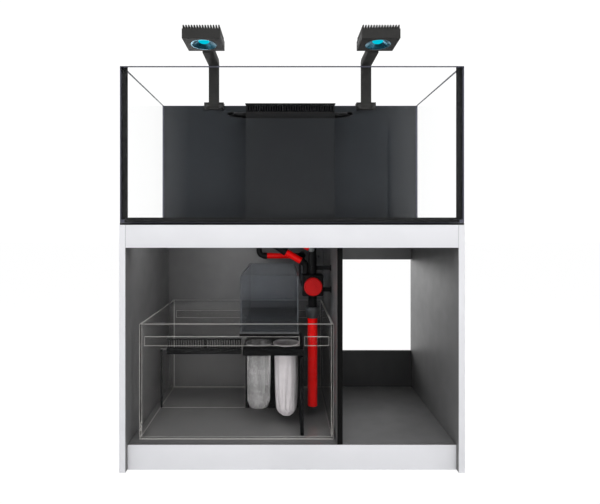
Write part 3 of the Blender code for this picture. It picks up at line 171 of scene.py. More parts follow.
# ---------------------------------------------------------------- cabinet boards
# Melamine-faced boards, white outside and graphite inside, cut square and edge-banded. The arrises are
# eased by about a millimetre, and the boards are doweled together with hairline joints.
def surface_grain():
    """Shared finish: two tones in soft patches, a fine grain in the height, and uneven gloss."""
    group = bpy.data.node_groups.new("surface_grain", "ShaderNodeTree")
    for name, kind, way in (
            ("Colour", "Color", "INPUT"), ("Patch Colour", "Color", "INPUT"),
            ("Patch Scale", "Float", "INPUT"),
            ("Patch Amount", "Float", "INPUT"), ("Grain Scale", "Float", "INPUT"),
            ("Grain Height", "Float", "INPUT"),
            ("Roughness", "Float", "INPUT"), ("Roughness Spread", "Float", "INPUT"),
            ("Colour", "Color", "OUTPUT"),
            ("Roughness", "Float", "OUTPUT"), ("Normal", "Vector", "OUTPUT")):
        group.interface.new_socket(name, in_out=way, socket_type=f"NodeSocket{kind}")
    given = added(group, "NodeGroupInput").outputs
    where = added(group, "ShaderNodeTexCoord").outputs["Object"]
    patches = added(group, "ShaderNodeTexNoise",
                    {"Vector": where, "Scale": given["Patch Scale"], "Detail": 3})
    fine = added(group, "ShaderNodeTexNoise", {"Vector": where, "Scale": given["Grain Scale"], "Detail": 2})
    spread = added(group, "ShaderNodeMapRange",
                   {"Value": patches.outputs["Fac"], "From Min": 0.35, "From Max": 0.65})
    share = maths(group, "MULTIPLY", spread.outputs["Result"], given["Patch Amount"], clamp=False)
    tone = added(group, "ShaderNodeMix", {"Factor": share, "A": given["Colour"], "B": given["Patch Colour"]},
                 data_type="RGBA")
    centred = maths(group, "SUBTRACT", patches.outputs["Fac"], 0.5, clamp=False)
    gloss = maths(group, "MULTIPLY_ADD", centred, given["Roughness Spread"], given["Roughness"], clamp=False)
    bump = added(group, "ShaderNodeBump", {"Height": fine.outputs["Fac"], "Strength": given["Grain Height"],
                                           "Distance": 0.0004})
    added(group, "NodeGroupOutput", {"Colour": tone.outputs["Result"], "Roughness": gloss,
                                     "Normal": bump.outputs["Normal"]})
    return group


GRAIN = surface_grain()


def grained(name, colour, patch_colour, patch_scale=6, patch_amount=0.5, grain_scale=400,
            grain_height=0.1, roughness=0.4, spread=0.1, **plain):
    """A material with the shared grain. Further keywords set the shader's own sockets."""
    material = bpy.data.materials.new(name)
    material.use_nodes = True
    tree = material.node_tree
    shader = tree.nodes["Principled BSDF"]
    grain = added(tree, "ShaderNodeGroup", {
        "Colour": (*colour, 1), "Patch Colour": (*patch_colour, 1), "Patch Scale": patch_scale,
        "Patch Amount": patch_amount, "Grain Scale": grain_scale, "Grain Height": grain_height,
        "Roughness": roughness, "Roughness Spread": spread}, node_tree=GRAIN).outputs
    for output, socket in (("Colour", "Base Color"), ("Roughness", "Roughness"), ("Normal", "Normal")):
        tree.links.new(grain[output], shader.inputs[socket])
    for socket, value in plain.items():
        shader.inputs[socket.replace("_", " ").title().replace("Ior", "IOR")].default_value = value
    return material


white_laminate = grained("white_laminate", (0.83, 0.83, 0.855), (0.79, 0.79, 0.815), 9, 0.5, 900, 0.10,
                         0.42, 0.12)
graphite_laminate = grained("graphite_laminate", (0.165, 0.164, 0.165), (0.140, 0.140, 0.141), 14, 0.6,
                            1100, 0.16, 0.5, 0.12)
black_edge_band = grained("black_edge_band", (0.004, 0.004, 0.004), (0.006, 0.006, 0.006), 20, 0.5,
                          700, 0.1, 0.5, 0.1, specular_ior_level=0.04)


def cleaned(node):
    """A bmesh of a CAD node: corners merged, and the triangles of each flat face joined."""
    bm = bmesh.new()
    bm.from_mesh(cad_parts[node].data)
    bmesh.ops.remove_doubles(bm, verts=bm.verts, dist=1e-5)
    bmesh.ops.dissolve_limit(bm, angle_limit=math.radians(1), verts=bm.verts, edges=bm.edges)
    return bm


def piece(name, bm, materials, body="stand_and_tank", stands_for=(), sharp=35):
    """Makes a finished piece from a bmesh and fixes it to its body."""
    mesh = bpy.data.meshes.new(name)
    bm.to_mesh(mesh)
    bm.free()
    for material in materials:
        mesh.materials.append(material)
    mesh.shade_smooth()
    mesh.set_sharp_from_angle(angle=math.radians(sharp))
    obj = bpy.data.objects.new(name, mesh)
    bpy.context.scene.collection.objects.link(obj)
    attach(obj, body)
    if stands_for:
        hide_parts(*stands_for)
    return obj


def ease(bm, width, segments=2, over=30):
    """Rounds every arris sharper than an angle."""
    edges = [e for e in bm.edges if len(e.link_faces) == 2 and e.calc_face_angle(0) > math.radians(over)]
    bmesh.ops.bevel(bm, geom=edges, offset=width, offset_type="OFFSET", segments=segments, profile=0.5,
                    affect="EDGES", clamp_overlap=True)


def paint_faces(bm, index, rule):
    for face in bm.faces:
        if rule(face):
            face.material_index = index


def board(node, inside=graphite_laminate, outside=white_laminate, is_outside=None,
          body="stand_and_tank",
          width=0.0009):
    bm = cleaned(node)
    ease(bm, width)
    bm.normal_update()
    if is_outside:
        paint_faces(bm, 1, is_outside)
    return piece(f"{node}_board", bm, [inside, outside], body, [node])


for node, side in (("side_panel_left", -1), ("side_panel_right", 1)):
    board(node, is_outside=lambda f, side=side: f.normal.x * side > -0.7 or f.normal.y < -0.5)
board("front_rail", is_outside=lambda f: f.normal.y < 0.7 and f.normal.z > -0.7)
board("plinth_board", is_outside=lambda f: f.normal.y < -0.5)
for node in ("floor_panel", "top_panel", "back_rail_upper"):
    board(node, outside=white_laminate, is_outside=lambda f: f.normal.y > 0.7)
# The inner faces of the left and lower back boards take darker copies of the graphite laminate: painted shade
# for the shadow at the back of the cabinet, deepest on the lower board.
painted_shade_laminate = grained("painted_shade_laminate", (0.045, 0.045, 0.046), (0.036, 0.036, 0.037), 14, 0.6, 1100,
                          0.16, 0.55,
                          0.12, specular_ior_level=0.15)
rear_painted_shade_laminate = grained("rear_painted_shade_laminate", (0.128, 0.127, 0.128), (0.108, 0.108, 0.109), 14, 0.6, 1100, 0.16,
                        0.5, 0.12)
board("back_panel_left", inside=rear_painted_shade_laminate, is_outside=lambda f: f.normal.y > 0.7)
board("back_panel_lower", inside=painted_shade_laminate, is_outside=lambda f: f.normal.y > 0.7)
board("divider_panel", outside=black_edge_band, is_outside=lambda f: f.normal.y < -0.7)


# ---------------------------------------------------------------- display tank panes
# Five panes of 12 mm float glass with ground and seamed edges. The rear one is painted black behind.
def through_glass(name, colour, haze=0.0, roughness=0.0, marks=0.03, ior=1.08, shadow=0.92):
    """Clear sheet with faint wipe marks in its gloss. Lamp light passes straight through it. Its low
    refraction stands for the anti-reflective look of the real sheets."""
    material = bpy.data.materials.new(name)
    material.use_nodes = True
    tree = material.node_tree
    shader = tree.nodes["Principled BSDF"]
    for socket, value in (("Base Color", (*colour, 1)), ("Transmission Weight", 1.0 - haze), ("IOR", ior)):
        shader.inputs[socket].default_value = value
    where = added(tree, "ShaderNodeTexCoord").outputs["Object"]
    stretch = added(tree, "ShaderNodeMapping", {"Vector": where, "Scale": (3.0, 3.0, 11.0),
                                                "Rotation": (0.3, 0.5, 0.2)})
    wipes = added(tree, "ShaderNodeTexNoise", {"Vector": stretch.outputs[0], "Scale": 2.2, "Detail": 4})
    gloss = added(tree, "ShaderNodeMapRange",
                  {"Value": wipes.outputs["Fac"], "From Min": 0.52, "From Max": 0.75,
                                               "To Min": roughness, "To Max": roughness + marks})
    tree.links.new(gloss.outputs["Result"], shader.inputs["Roughness"])
    path = added(tree, "ShaderNodeLightPath").outputs
    straight = added(tree, "ShaderNodeBsdfTransparent", {"Color": (*(shadow * c for c in colour), 1)})
    mix = added(tree, "ShaderNodeMixShader",
                {0: path["Is Shadow Ray"], 1: shader.outputs[0], 2: straight.outputs[0]})
    tree.links.new(mix.outputs[0], tree.nodes["Material Output"].inputs["Surface"])
    return material


float_glass = through_glass("float_glass", (0.998, 1.0, 0.999), marks=0.012, ior=1.06, shadow=0.97)
ground_glass_edge = grained("ground_glass_edge", (0.075, 0.075, 0.115), (0.10, 0.105, 0.13), 30, 0.6, 1500,
                            0.3,
                            0.5, 0.2)
back_painted_glass = grained("back_painted_glass", (0.026, 0.029, 0.033), (0.030, 0.033, 0.037), 3, 0.6,
                             2, 0.0, 0.07, 0.05, coat_weight=0.2)


def add_block(bm, low, high, width=0.0006, segments=2):
    """Adds a box with rounded or seamed arrises."""
    low, high = Vector(low), Vector(high)
    place = Matrix.Translation((low + high) / 2) @ Matrix.Diagonal((*(high - low), 1))
    made = bmesh.ops.create_cube(bm, size=1, matrix=place)
    bmesh.ops.bevel(bm, geom=list({e for v in made["verts"] for e in v.link_edges}), offset=width,
                    offset_type="OFFSET", segments=segments, profile=0.5, affect="EDGES", clamp_overlap=True)


def pane(bm, low, high, chamfer=0.0012):
    """Adds a pane with seamed arrises. The faces round its edge take the second material."""
    before = set(bm.faces)
    add_block(bm, low, high, chamfer, 1)
    bm.normal_update()
    thin = min(range(3), key=lambda axis: high[axis] - low[axis])
    for face in bm.faces:
        if face not in before:
            face.material_index = 0 if abs(face.normal[thin]) > 0.9 else 1


for side in ("front", "left", "right", "rear"):
    node = f"tank_{side}_pane"
    slot, sheet = ("black_glass", back_painted_glass) if side == "rear" else ("clear_glass", float_glass)
    bm = bmesh.new()
    pane(bm, *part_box(node))
    piece(f"{node}_glass", bm, [sheet, ground_glass_edge], stands_for=[node], sharp=20)

bm = cleaned("tank_base_pane")
ease(bm, 0.0008, 1, 60)
bm.normal_update()
paint_faces(bm, 1, lambda f: abs(f.normal.z) < 0.9)
piece("tank_base_pane_glass", bm, [float_glass, ground_glass_edge], stands_for=["tank_base_pane"],
      sharp=20)


# ---------------------------------------------------------------- mat and silicone of the display tank
# A black foam mat under the base pane. Black silicone bonds the panes: a thin layer in each upright
# corner with a tooled fillet inside, and a fillet all round the floor.
black_foam = grained("black_foam", (0.0040, 0.0042, 0.0045), (0.006, 0.006, 0.0065), 40, 0.7, 600, 0.6,
                     0.92, 0.05,
                     specular_ior_level=0.02)
black_silicone = grained("black_silicone", (0.009, 0.0092, 0.0097), (0.013, 0.0133, 0.014), 25, 0.5, 120,
                         0.25,
                         0.5, 0.12, specular_ior_level=0.1)
board("tank_mat", inside=black_foam, outside=black_foam, width=0.0012)


def extruded(bm, points, matrix, length):
    """Adds a prism: a closed outline drawn in XY, moved by a matrix and given a length along its own Z."""
    ends = [[bm.verts.new(matrix @ Vector((x, y, z))) for x, y in points] for z in (0, length)]
    count = len(points)
    made = [bm.faces.new((ends[0][i], ends[0][(i + 1) % count], ends[1][(i + 1) % count], ends[1][i]))
            for i in range(count)]
    made += [bm.faces.new(ends[0]), bm.faces.new(ends[1])]
    bmesh.ops.recalc_face_normals(bm, faces=made)


def tooled(reach, steps=6):
    """The hollow curve of a fillet pressed into a square corner at the origin."""
    return [(reach * (1 - math.sin(a)), reach * (1 - math.cos(a)))
            for a in (math.pi / 2 * i / steps for i in range(steps + 1))]


for side, name in ((-1, "left"), (1, "right")):
    low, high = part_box(f"corner_seam_{name}")
    outer, inner = (low.x, high.x) if side < 0 else (high.x, low.x)
    reach = high.y - low.y
    layer = 0.0015      # between the panes
    corner = inner + side * reach
    bm = bmesh.new()
    curve = [(corner + side * -x, low.y + y) for x, y in tooled(reach)]
    outline = [(outer, low.y), (inner, low.y)] + curve[::-1][1:-1] + [(corner, high.y),
                                                                      (corner, low.y + layer),
                                                                      (outer, low.y + layer)]
    extruded(bm, outline, Matrix.Translation((0, 0, low.z)), high.z - low.z)
    piece(f"corner_seam_{name}_silicone", bm, [black_silicone], stands_for=[f"corner_seam_{name}"],
          sharp=50)

floor_low, floor_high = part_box("tank_base_pane")
bead = 0.007
bm = bmesh.new()
front_y, rear_y = floor_low.y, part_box("tank_rear_pane")[0].y
edge_x = floor_high.x
lift_z = floor_high.z + 0.0001
profile = [(0.0001, 0.0001)] + tooled(bead)
to_front = Matrix(((0, 0, 1, -edge_x), (1, 0, 0, front_y), (0, 1, 0, lift_z), (0, 0, 0, 1)))
extruded(bm, profile, to_front, 2 * edge_x)
to_rear = Matrix(((0, 0, 1, -edge_x), (-1, 0, 0, rear_y), (0, 1, 0, lift_z), (0, 0, 0, 1)))
extruded(bm, profile, to_rear, 2 * edge_x)
for side in (-1, 1):
    along = Matrix(((-side, 0, 0, side * edge_x), (0, 0, 1, front_y), (0, 1, 0, lift_z), (0, 0, 0, 1)))
    extruded(bm, profile, along, rear_y - front_y)
bmesh.ops.create_cube(bm, size=1, matrix=Matrix.Translation((0, front_y - 0.00015,
                                                             (floor_low.z + floor_high.z) / 2))
                      @ Matrix.Diagonal((2 * edge_x, 0.0002, floor_high.z - floor_low.z, 1)))
piece("tank_floor_silicone", bm, [black_silicone], sharp=50)


# ---------------------------------------------------------------- overflow box
# A box of black acrylic sheet glued to the rear pane, with polished edges. A moulded comb of upright teeth
# slots over its front wall, and a thin lid lies on top.
black_acrylic = grained("black_acrylic", (0.018, 0.0195, 0.0215), (0.022, 0.024, 0.026), 4, 0.6, 3, 0.0,
                        0.16, 0.08)
black_moulding = grained("black_moulding", (0.0050, 0.0050, 0.0054), (0.0075, 0.0075, 0.008), 30, 0.6, 900,
                         0.25,
                         0.5, 0.12, specular_ior_level=0.1)


def copies_tree():
    """A row or ring: each copy is one step further on and turned a little more about Z."""
    tree = bpy.data.node_groups.new("row_of_copies", "GeometryNodeTree")
    for name, kind in (("Shape", "Geometry"), ("Count", "Int"), ("Step", "Vector"), ("Turn", "Float"),
                       ("Material", "Material")):
        tree.interface.new_socket(name, in_out="INPUT", socket_type=f"NodeSocket{kind}")
    tree.interface.new_socket("Shape", in_out="OUTPUT", socket_type="NodeSocketGeometry")
    given = added(tree, "NodeGroupInput").outputs
    line = added(tree, "GeometryNodeMeshLine", {"Count": given["Count"], "Offset": given["Step"]})
    index = added(tree, "GeometryNodeInputIndex").outputs[0]
    angle = maths(tree, "MULTIPLY", index, given["Turn"], clamp=False)
    rotation = added(tree, "ShaderNodeCombineXYZ", {"Z": angle})
    place = added(tree, "GeometryNodeInstanceOnPoints",
                  {"Points": line.outputs["Mesh"], "Instance": given["Shape"],
                                                         "Rotation": rotation.outputs[0]})
    real = added(tree, "GeometryNodeRealizeInstances", {0: place.outputs[0]})
    surface = added(tree, "GeometryNodeSetMaterial",
                    {"Geometry": real.outputs[0], "Material": given["Material"]})
    added(tree, "NodeGroupOutput", {0: surface.outputs[0]})
    return tree


ROW_OF_COPIES = copies_tree()


def copies(seed, count, step, turn, material):
    """Repeats the shape in a bmesh and gives back a bmesh of all the copies."""
    mesh = bpy.data.meshes.new("seed")
    seed.to_mesh(mesh)
    seed.free()
    obj = bpy.data.objects.new("seed", mesh)
    bpy.context.scene.collection.objects.link(obj)
    modifier = obj.modifiers.new("Copies", "NODES")
    modifier.node_group = ROW_OF_COPIES
    wanted = {"Count": count, "Step": step, "Turn": turn, "Material": material}
    for item in ROW_OF_COPIES.interface.items_tree:
        if item.in_out == "INPUT" and item.name in wanted:
            modifier[item.identifier] = wanted[item.name]
    bpy.context.view_layer.update()
    made = bpy.data.meshes.new_from_object(obj.evaluated_get(bpy.context.evaluated_depsgraph_get()))
    obj.modifiers.remove(modifier)
    bpy.data.objects.remove(obj, do_unlink=True)
    bpy.data.meshes.remove(mesh)
    result = bmesh.new()
    result.from_mesh(made)
    bpy.data.meshes.remove(made)
    for face in result.faces:
        face.material_index = 0
    return result


def joined(bm, other):
    """Moves another bmesh's shape into this one."""
    mesh = bpy.data.meshes.new("joined")
    other.to_mesh(mesh)
    other.free()
    bm.from_mesh(mesh)
    bpy.data.meshes.remove(mesh)


bm = cleaned("weir_box")
ease(bm, 0.0007, 1, 40)
piece("weir_box_sheets", bm, [black_acrylic], stands_for=["weir_box"], sharp=25)

low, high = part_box("weir_comb")
front, face = low.y, low.y + 0.006
wall_foot = low.z + 0.010
slot_top = high.z - 0.006
slot_foot = slot_top - 0.027
bm = bmesh.new()
add_block(bm, (low.x, front, wall_foot), (high.x, face, slot_foot), 0.0007)
add_block(bm, (low.x, front, slot_top), (high.x, face, high.z), 0.0007)
add_block(bm, (low.x + 0.0063, face + 0.0003, low.z), (high.x - 0.0063, face + 0.0033, slot_foot - 0.002),
          0.0005)
pitch = (high.x - low.x - 0.012) / 34
tooth = bmesh.new()
start_x = low.x + 0.006 - (pitch - 0.0055) / 2
add_block(tooth, (start_x, front + 0.0004, slot_foot - 0.001),
          (start_x + pitch - 0.0055, face, slot_top + 0.001),
          0.0009, 3)
joined(bm, copies(tooth, 35, (pitch, 0, 0), 0.0, black_moulding))
add_block(bm, (low.x, front, slot_foot - 0.001), (low.x + 0.007, face, slot_top + 0.001), 0.0006)
add_block(bm, (high.x - 0.007, front, slot_foot - 0.001), (high.x, face, slot_top + 0.001), 0.0006)
piece("weir_comb_moulding", bm, [black_moulding], "weir_comb", ["weir_comb"])
board("weir_lid", inside=black_moulding, outside=black_moulding, body="weir_lid",
      width=0.001)


# ---------------------------------------------------------------- pipes in the overflow box
# A black PVC standpipe for the main drain, and a return riser with a cross tube that ends in two flattened
# spouts. The emergency drain's mouth stands between them.
def skinned(bm, rings):
    """The faces between rings of points, one ring to the next. A ring of one point closes to it."""
    made = []
    for a, b in zip(rings, rings[1:]):
        for n in range(max(len(a), len(b))):
            m = (n + 1) % max(len(a), len(b))
            corners = [a[n % len(a)], a[m % len(a)], b[m % len(b)], b[n % len(b)]]
            corners = [v for i, v in enumerate(corners) if v not in corners[:i]]
            if len(corners) > 2:
                made.append(bm.faces.new(corners))
    return made


def sweep(bm, path, radius, sides=40, hollow=0.0):
    """Adds a round pipe along points. Closed ends, or a bore at both of them when hollow is its wall."""
    path = [Vector(p) for p in path]
    rings = []
    heading = (path[1] - path[0]).normalized()
    across = heading.orthogonal().normalized()
    for i, point in enumerate(path):
        ahead = (path[min(i + 1, len(path) - 1)] - path[max(i - 1, 0)]).normalized()
        across = (across - ahead * across.dot(ahead)).normalized()
        up = ahead.cross(across)
        rings.append([bm.verts.new(point + (across * math.cos(t) + up * math.sin(t)) * radius)
                      for t in (2 * math.pi * n / sides for n in range(sides))])
    made = skinned(bm, rings)
    for ring, end, on in ((rings[0], path[0], path[1]), (rings[-1], path[-1], path[-2])):
        if hollow:
            inward = (on - end).normalized() * radius * 0.9
            rim = [bm.verts.new(end + (v.co - end) * (1 - hollow / radius)) for v in ring]
            deep = [bm.verts.new(v.co + inward) for v in rim]
            made += skinned(bm, [ring, rim, deep])
            made.append(bm.faces.new(deep))
        else:
            made.append(bm.faces.new(ring))
    bmesh.ops.recalc_face_normals(bm, faces=made)


def turn_profile(bm, profile, centre, axis=(0, 0, 1), sides=56):
    """Adds a turned shape from (radius, height) points about an axis through a centre."""
    place = Matrix.Translation(centre) @ Vector(axis).to_track_quat("Z", "Y").to_matrix().to_4x4()
    rings = []
    for radius, height in profile:
        if radius < 1e-6:
            rings.append([bm.verts.new(place @ Vector((0, 0, height)))])
        else:
            rings.append([bm.verts.new(place @ Vector((radius * math.cos(t), radius * math.sin(t), height)))
                          for t in (2 * math.pi * n / sides for n in range(sides))])
    bmesh.ops.recalc_face_normals(bm, faces=skinned(bm, rings))


drain_x, return_x, emergency_x = 0.086, -0.140, -0.060
drain_reach, branch_reach, return_reach = 0.0165, 0.0135, 0.0125
low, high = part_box("drain_standpipe")
bm = bmesh.new()
turn_profile(bm, [(0.0135, high.z), (0.0138, high.z - 0.0001), (0.0158, high.z), (0.0165, high.z - 0.0007),
                  (0.0165, low.z + 0.001), (0.0158, low.z), (0.0135, low.z), (0.0135, high.z)],
             ((low.x + high.x) / 2, (low.y + high.y) / 2, 0))
piece("drain_standpipe_tube", bm, [black_moulding], stands_for=["drain_standpipe"])

low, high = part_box("return_riser")
manifold_z = high.z - return_reach
weir_pipe_y = (low.y + high.y) / 2
bm = bmesh.new()
sweep(bm, [(return_x, weir_pipe_y, low.z), (return_x, weir_pipe_y, manifold_z)], return_reach)
sweep(bm, [(low.x, weir_pipe_y, manifold_z), (high.x, weir_pipe_y, manifold_z)], 0.0124, hollow=0.0042)
tee_reach = 0.0155
sweep(bm, [(return_x - 0.022, weir_pipe_y, manifold_z), (return_x + 0.022, weir_pipe_y, manifold_z)],
      tee_reach)
sweep(bm, [(return_x, weir_pipe_y, manifold_z - 0.026), (return_x, weir_pipe_y, manifold_z)], tee_reach)
piece("return_riser_tube", bm, [black_moulding], stands_for=["return_riser"])

for side, name in ((-1, "left"), (1, "right")):
    bm = bmesh.new()
    start, sides, stations = 0.1953, 36, 22
    rings = []
    for shell in (1.0, 0.72):       # the outside, then the bore back to half way
        for station in range(stations):
            share = station / (stations - 1)
            share = share if shell == 1.0 else 1 - share * 0.5
            out = start + 0.070 * math.sin(share * math.pi / 2)
            forward = 0.030 * (1 - math.cos(share * math.pi / 2))
            heading = share * math.radians(60)
            sleeve = 1.0 if share > 0.16 else 1.10
            wide, tall = (return_reach * (1 + change * share) * shell * sleeve for change in (0.5, -0.35))
            rings.append([bm.verts.new((side * (out + wide * math.cos(t) * math.sin(heading)),
                                        weir_pipe_y - forward + wide * math.cos(t) * math.cos(heading),
                                        manifold_z + tall * math.sin(t)))
                          for t in (2 * math.pi * n / sides for n in range(sides))])
    made = skinned(bm, rings) + [bm.faces.new(rings[0]), bm.faces.new(rings[-1])]
    bmesh.ops.recalc_face_normals(bm, faces=made)
    sweep(bm, [(side * (start - 0.0118), weir_pipe_y, manifold_z),
               (side * (start + 0.004), weir_pipe_y, manifold_z)],
          0.0077)
    piece(f"nozzle_{name}_spout", bm, [black_moulding], f"nozzle_{name}", [f"nozzle_{name}"])


# ---------------------------------------------------------------- pipework in the cabinet
# Glued PVC pressure pipe in black and red, pushed into moulded fittings that show as thicker collars.
# Both drains run forward under the tank into the valve block, and the return runs across the back.
red_pipe = grained("red_pipe", (0.80, 0.004, 0.004), (0.70, 0.004, 0.004), 12, 0.6, 700, 0.12, 0.3, 0.12,
                   specular_ior_level=0.15)


def bend(corners, radius, steps=10):
    """The points of a pipe's axis through corners, each rounded to an arc."""
    corners = [Vector(c) for c in corners]
    points = [corners[0]]
    for before, corner, after in zip(corners, corners[1:], corners[2:]):
        back, on = (before - corner).normalized(), (after - corner).normalized()
        half = back.angle(on) / 2
        centre = corner + (back + on).normalized() * radius / math.sin(half)
        arm = corner + back * radius / math.tan(half) - centre
        axis = arm.cross(corner + on * radius / math.tan(half) - centre)
        points += [centre + Matrix.Rotation((math.pi - 2 * half) * i / steps, 3,
                                            axis) @ arm for i in range(steps + 1)]
    return points + [corners[-1]]


def collar(bm, start, end, radius, lip=0.0008):
    """Adds a fitting's socket end: a short thicker sleeve with rounded edges."""
    start, end = Vector(start), Vector(end)
    length = (end - start).length
    turn_profile(bm, [(0, 0), (radius - lip, 0), (radius, lip), (radius, length - lip),
                      (radius - lip, length),
                      (0, length)], start, end - start, 40)


def pipe_piece(node, corners, radius, material, collars=(), body="stand_and_tank", bend_radius=0.024):
    bm = bmesh.new()
    sweep(bm, bend(corners, bend_radius) if len(corners) > 2 else corners, radius)
    for start, end, sleeve in collars:
        collar(bm, start, end, sleeve)
    return piece(f"{node}_tube", bm, [material], body, [node], 40)


valve_y, valve_z = -0.064, 0.6215
run_z, foot_z = 0.812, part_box("drain_pipe")[1].z
valve_top, valve_foot = valve_z + 0.0445, valve_z - 0.0405
pipe_piece("drain_pipe", [(drain_x, weir_pipe_y, foot_z), (drain_x, weir_pipe_y, run_z),
                          (drain_x, valve_y, run_z),
                          (drain_x, valve_y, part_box("drain_pipe")[0].z)], drain_reach, black_moulding,
           [((drain_x, valve_y, 0.7695), (drain_x, valve_y, 0.7895), 0.0196)])
red_start, red_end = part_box("branch_pipe")
branch_y = (red_start.y + red_end.y) / 2
red_from, red_to = Vector((-0.0187, branch_y, 0.752)), Vector((0.040, branch_y, 0.7174))
slope = (red_to - red_from).normalized()
branch_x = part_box("branch_elbow")[1].x - branch_reach
entry = red_from - slope * ((run_z - red_from.z) / -slope.z)
pipe_piece("emergency_drain_pipe", [(emergency_x, weir_pipe_y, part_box("emergency_drain_pipe")[1].z),
                                    (emergency_x, weir_pipe_y, run_z), entry, red_from - slope * 0.0003],
           branch_reach,
           black_moulding, [(red_from - slope * 0.0205, red_from - slope * 0.0005, 0.0163)])
pipe_piece("branch_pipe", [red_from, red_to], 0.0134, red_pipe)
elbow_corner = red_to + slope * ((branch_x - red_to.x) / slope.x)
pipe_piece("branch_elbow", [red_to + slope * 0.0003, elbow_corner,
                            (branch_x, branch_y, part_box("branch_elbow")[0].z)], branch_reach, black_moulding,
           [(red_to + slope * 0.0005, red_to + slope * 0.0105, 0.0158)])
return_z = 0.7217
pipe_piece("return_elbow_left", [(return_x, weir_pipe_y, foot_z), (return_x, weir_pipe_y, return_z),
                                 (-0.104, weir_pipe_y, return_z)], return_reach, black_moulding,
           [((-0.122, weir_pipe_y, return_z), (-0.1042, weir_pipe_y, return_z), 0.0147)])
pipe_piece("return_pipe", [(-0.1037, weir_pipe_y, return_z), (0.004, weir_pipe_y, return_z)], 0.0124,
           red_pipe)
pipe_piece("return_elbow_right", [(0.0043, weir_pipe_y, return_z), (0.058, weir_pipe_y, return_z),
                                  (0.058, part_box("return_elbow_right")[1].y, return_z)], return_reach,
           black_moulding,
           [((0.0045, weir_pipe_y, return_z), (0.022, weir_pipe_y, return_z), 0.0131)])

# A grey push-on cap on the drain's upper end, a red stub of the air line beside it, and the thin black
# air tube that drops behind the valve, with the screw that holds the return's end to the divider.
grey_moulding = grained("grey_moulding", (0.045, 0.048, 0.050), (0.035, 0.038, 0.040), 30, 0.6, 900, 0.3,
                        0.4, 0.15)
pale_grey_moulding = grained("pale_grey_moulding", (0.19, 0.20, 0.20), (0.15, 0.16, 0.16), 60, 0.6, 900,
                             0.3, 0.42,
                             0.15)
bm = bmesh.new()
turn_profile(bm, [(0, 0.0), (0.0072, 0.0), (0.0112, 0.004), (0.0118, 0.010), (0.0118, 0.030), (0, 0.030)],
             (drain_x - 0.006, valve_y - 0.024, 0.756), sides=40)
piece("drain_cap", bm, [pale_grey_moulding], sharp=40)
stub_from, stub_to = Vector((0.006, -0.0875, 0.8105)), Vector((0.0705, -0.0875, 0.7695))
bm = bmesh.new()
sweep(bm, [stub_from, stub_to], 0.0105)
piece("air_line_stub", bm, [red_pipe], sharp=40)
bm = bmesh.new()
sweep(bm, bend([(0.0375, -0.020, 0.7035), (0.0375, -0.020, 0.640), (0.046, -0.026, 0.612)], 0.008), 0.0034,
      20)
collar(bm, (0.0375, -0.020, 0.702), (0.0375, -0.020, 0.7125), 0.0052)
piece("air_tube", bm, [black_moulding], sharp=40)
bm = bmesh.new()
turn_profile(bm, [(0, 0.0), (0.0052, 0.0), (0.0060, 0.0008), (0.0052, 0.0024), (0, 0.0032)],
             (0.1355, 0.2815, 0.7085), (0, -1, 0), 24)
piece("panel_screw", bm, [grey_moulding], sharp=40)


# ---------------------------------------------------------------- drain valve
# A moulded valve block with rounded corners and an outlet stub. Its round red knob, with a raised rim and
# a gripping edge, turns a polished ball on a short stem.
low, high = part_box("valve_body")
half_width, half_depth = (high.x - low.x) / 2, 0.034
bm = bmesh.new()
add_block(bm, (drain_x - half_width, valve_y - half_depth, valve_foot),
          (drain_x + half_width, valve_y + half_depth, valve_top), 0.006, 5)
turn_profile(bm, [(0.0120, 0), (0.0168, 0), (0.0175, 0.0007), (0.0175, 0.060), (0.0205, 0.062),
                  (0.0205, 0.0655),
                  (0.0120, 0.0655), (0.0120, 0)], (drain_x, valve_y, low.z))
for x, y, radius in ((drain_x, valve_y, drain_reach), (branch_x, branch_y, branch_reach)):
    turn_profile(bm, [(radius + 0.0003, 0), (radius + 0.0024, 0), (radius + 0.0029, 0.0005),
                      (radius + 0.0029, 0.0018),
                      (radius + 0.0022, 0.0026), (radius + 0.0003, 0.0026), (radius + 0.0003, 0)],
                 (x, y, valve_top - 0.0026), sides=40)
piece("valve_block", bm, [black_moulding], stands_for=["valve_body"])

low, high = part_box("valve_knob")
knob_back = low.y + 0.020
bm = bmesh.new()
turn_profile(bm, [(0, 0.0), (0.0338, 0.0), (0.0345, 0.0008), (0.0345, 0.0175), (0.0335, 0.0192),
                  (0.0322, 0.0196),
                  (0.0308, 0.0190), (0.0300, 0.0180), (0.0120, 0.0176), (0.0112, 0.0172), (0.0104, 0.0176),
                  (0, 0.0178)],
             (drain_x, knob_back, valve_z), (0, -1, 0), 72)
collar(bm, (drain_x, valve_y - 0.0213, valve_z), (drain_x, knob_back - 0.002, valve_z), 0.0060)
rib = bmesh.new()
add_block(rib, (0.0338, -0.0009, 0.0012), (0.0362, 0.0009, 0.0172), 0.0005)
ribs = copies(rib, 48, (0, 0, 0), 2 * math.pi / 48, red_pipe)
bmesh.ops.transform(ribs, verts=ribs.verts, matrix=Matrix.Translation((drain_x, knob_back, valve_z))
                    @ Vector((0, -1, 0)).to_track_quat("Z", "Y").to_matrix().to_4x4())
joined(bm, ribs)
knob_red = grained("knob_red", (0.62, 0.010, 0.011), (0.54, 0.009, 0.010), 14, 0.6, 800, 0.25, 0.45, 0.12,
                   specular_ior_level=0.08)
piece("valve_knob_moulding", bm, [knob_red], "valve_handle", ["valve_knob"], 25)
bm = cleaned("valve_ball")
bmesh.ops.subdivide_edges(bm, edges=[e for e in bm.edges if e.calc_length() > 0.004], cuts=1, smooth=0.6,
                          use_grid_fill=True)
polished_steel = grained("polished_steel", (0.55, 0.55, 0.55), (0.48, 0.48, 0.49), 60, 0.5, 900, 0.1, 0.22,
                         0.1,
                         metallic=1.0)
piece("valve_ball_turned", bm, [polished_steel], "valve_handle", ["valve_ball"], 50)


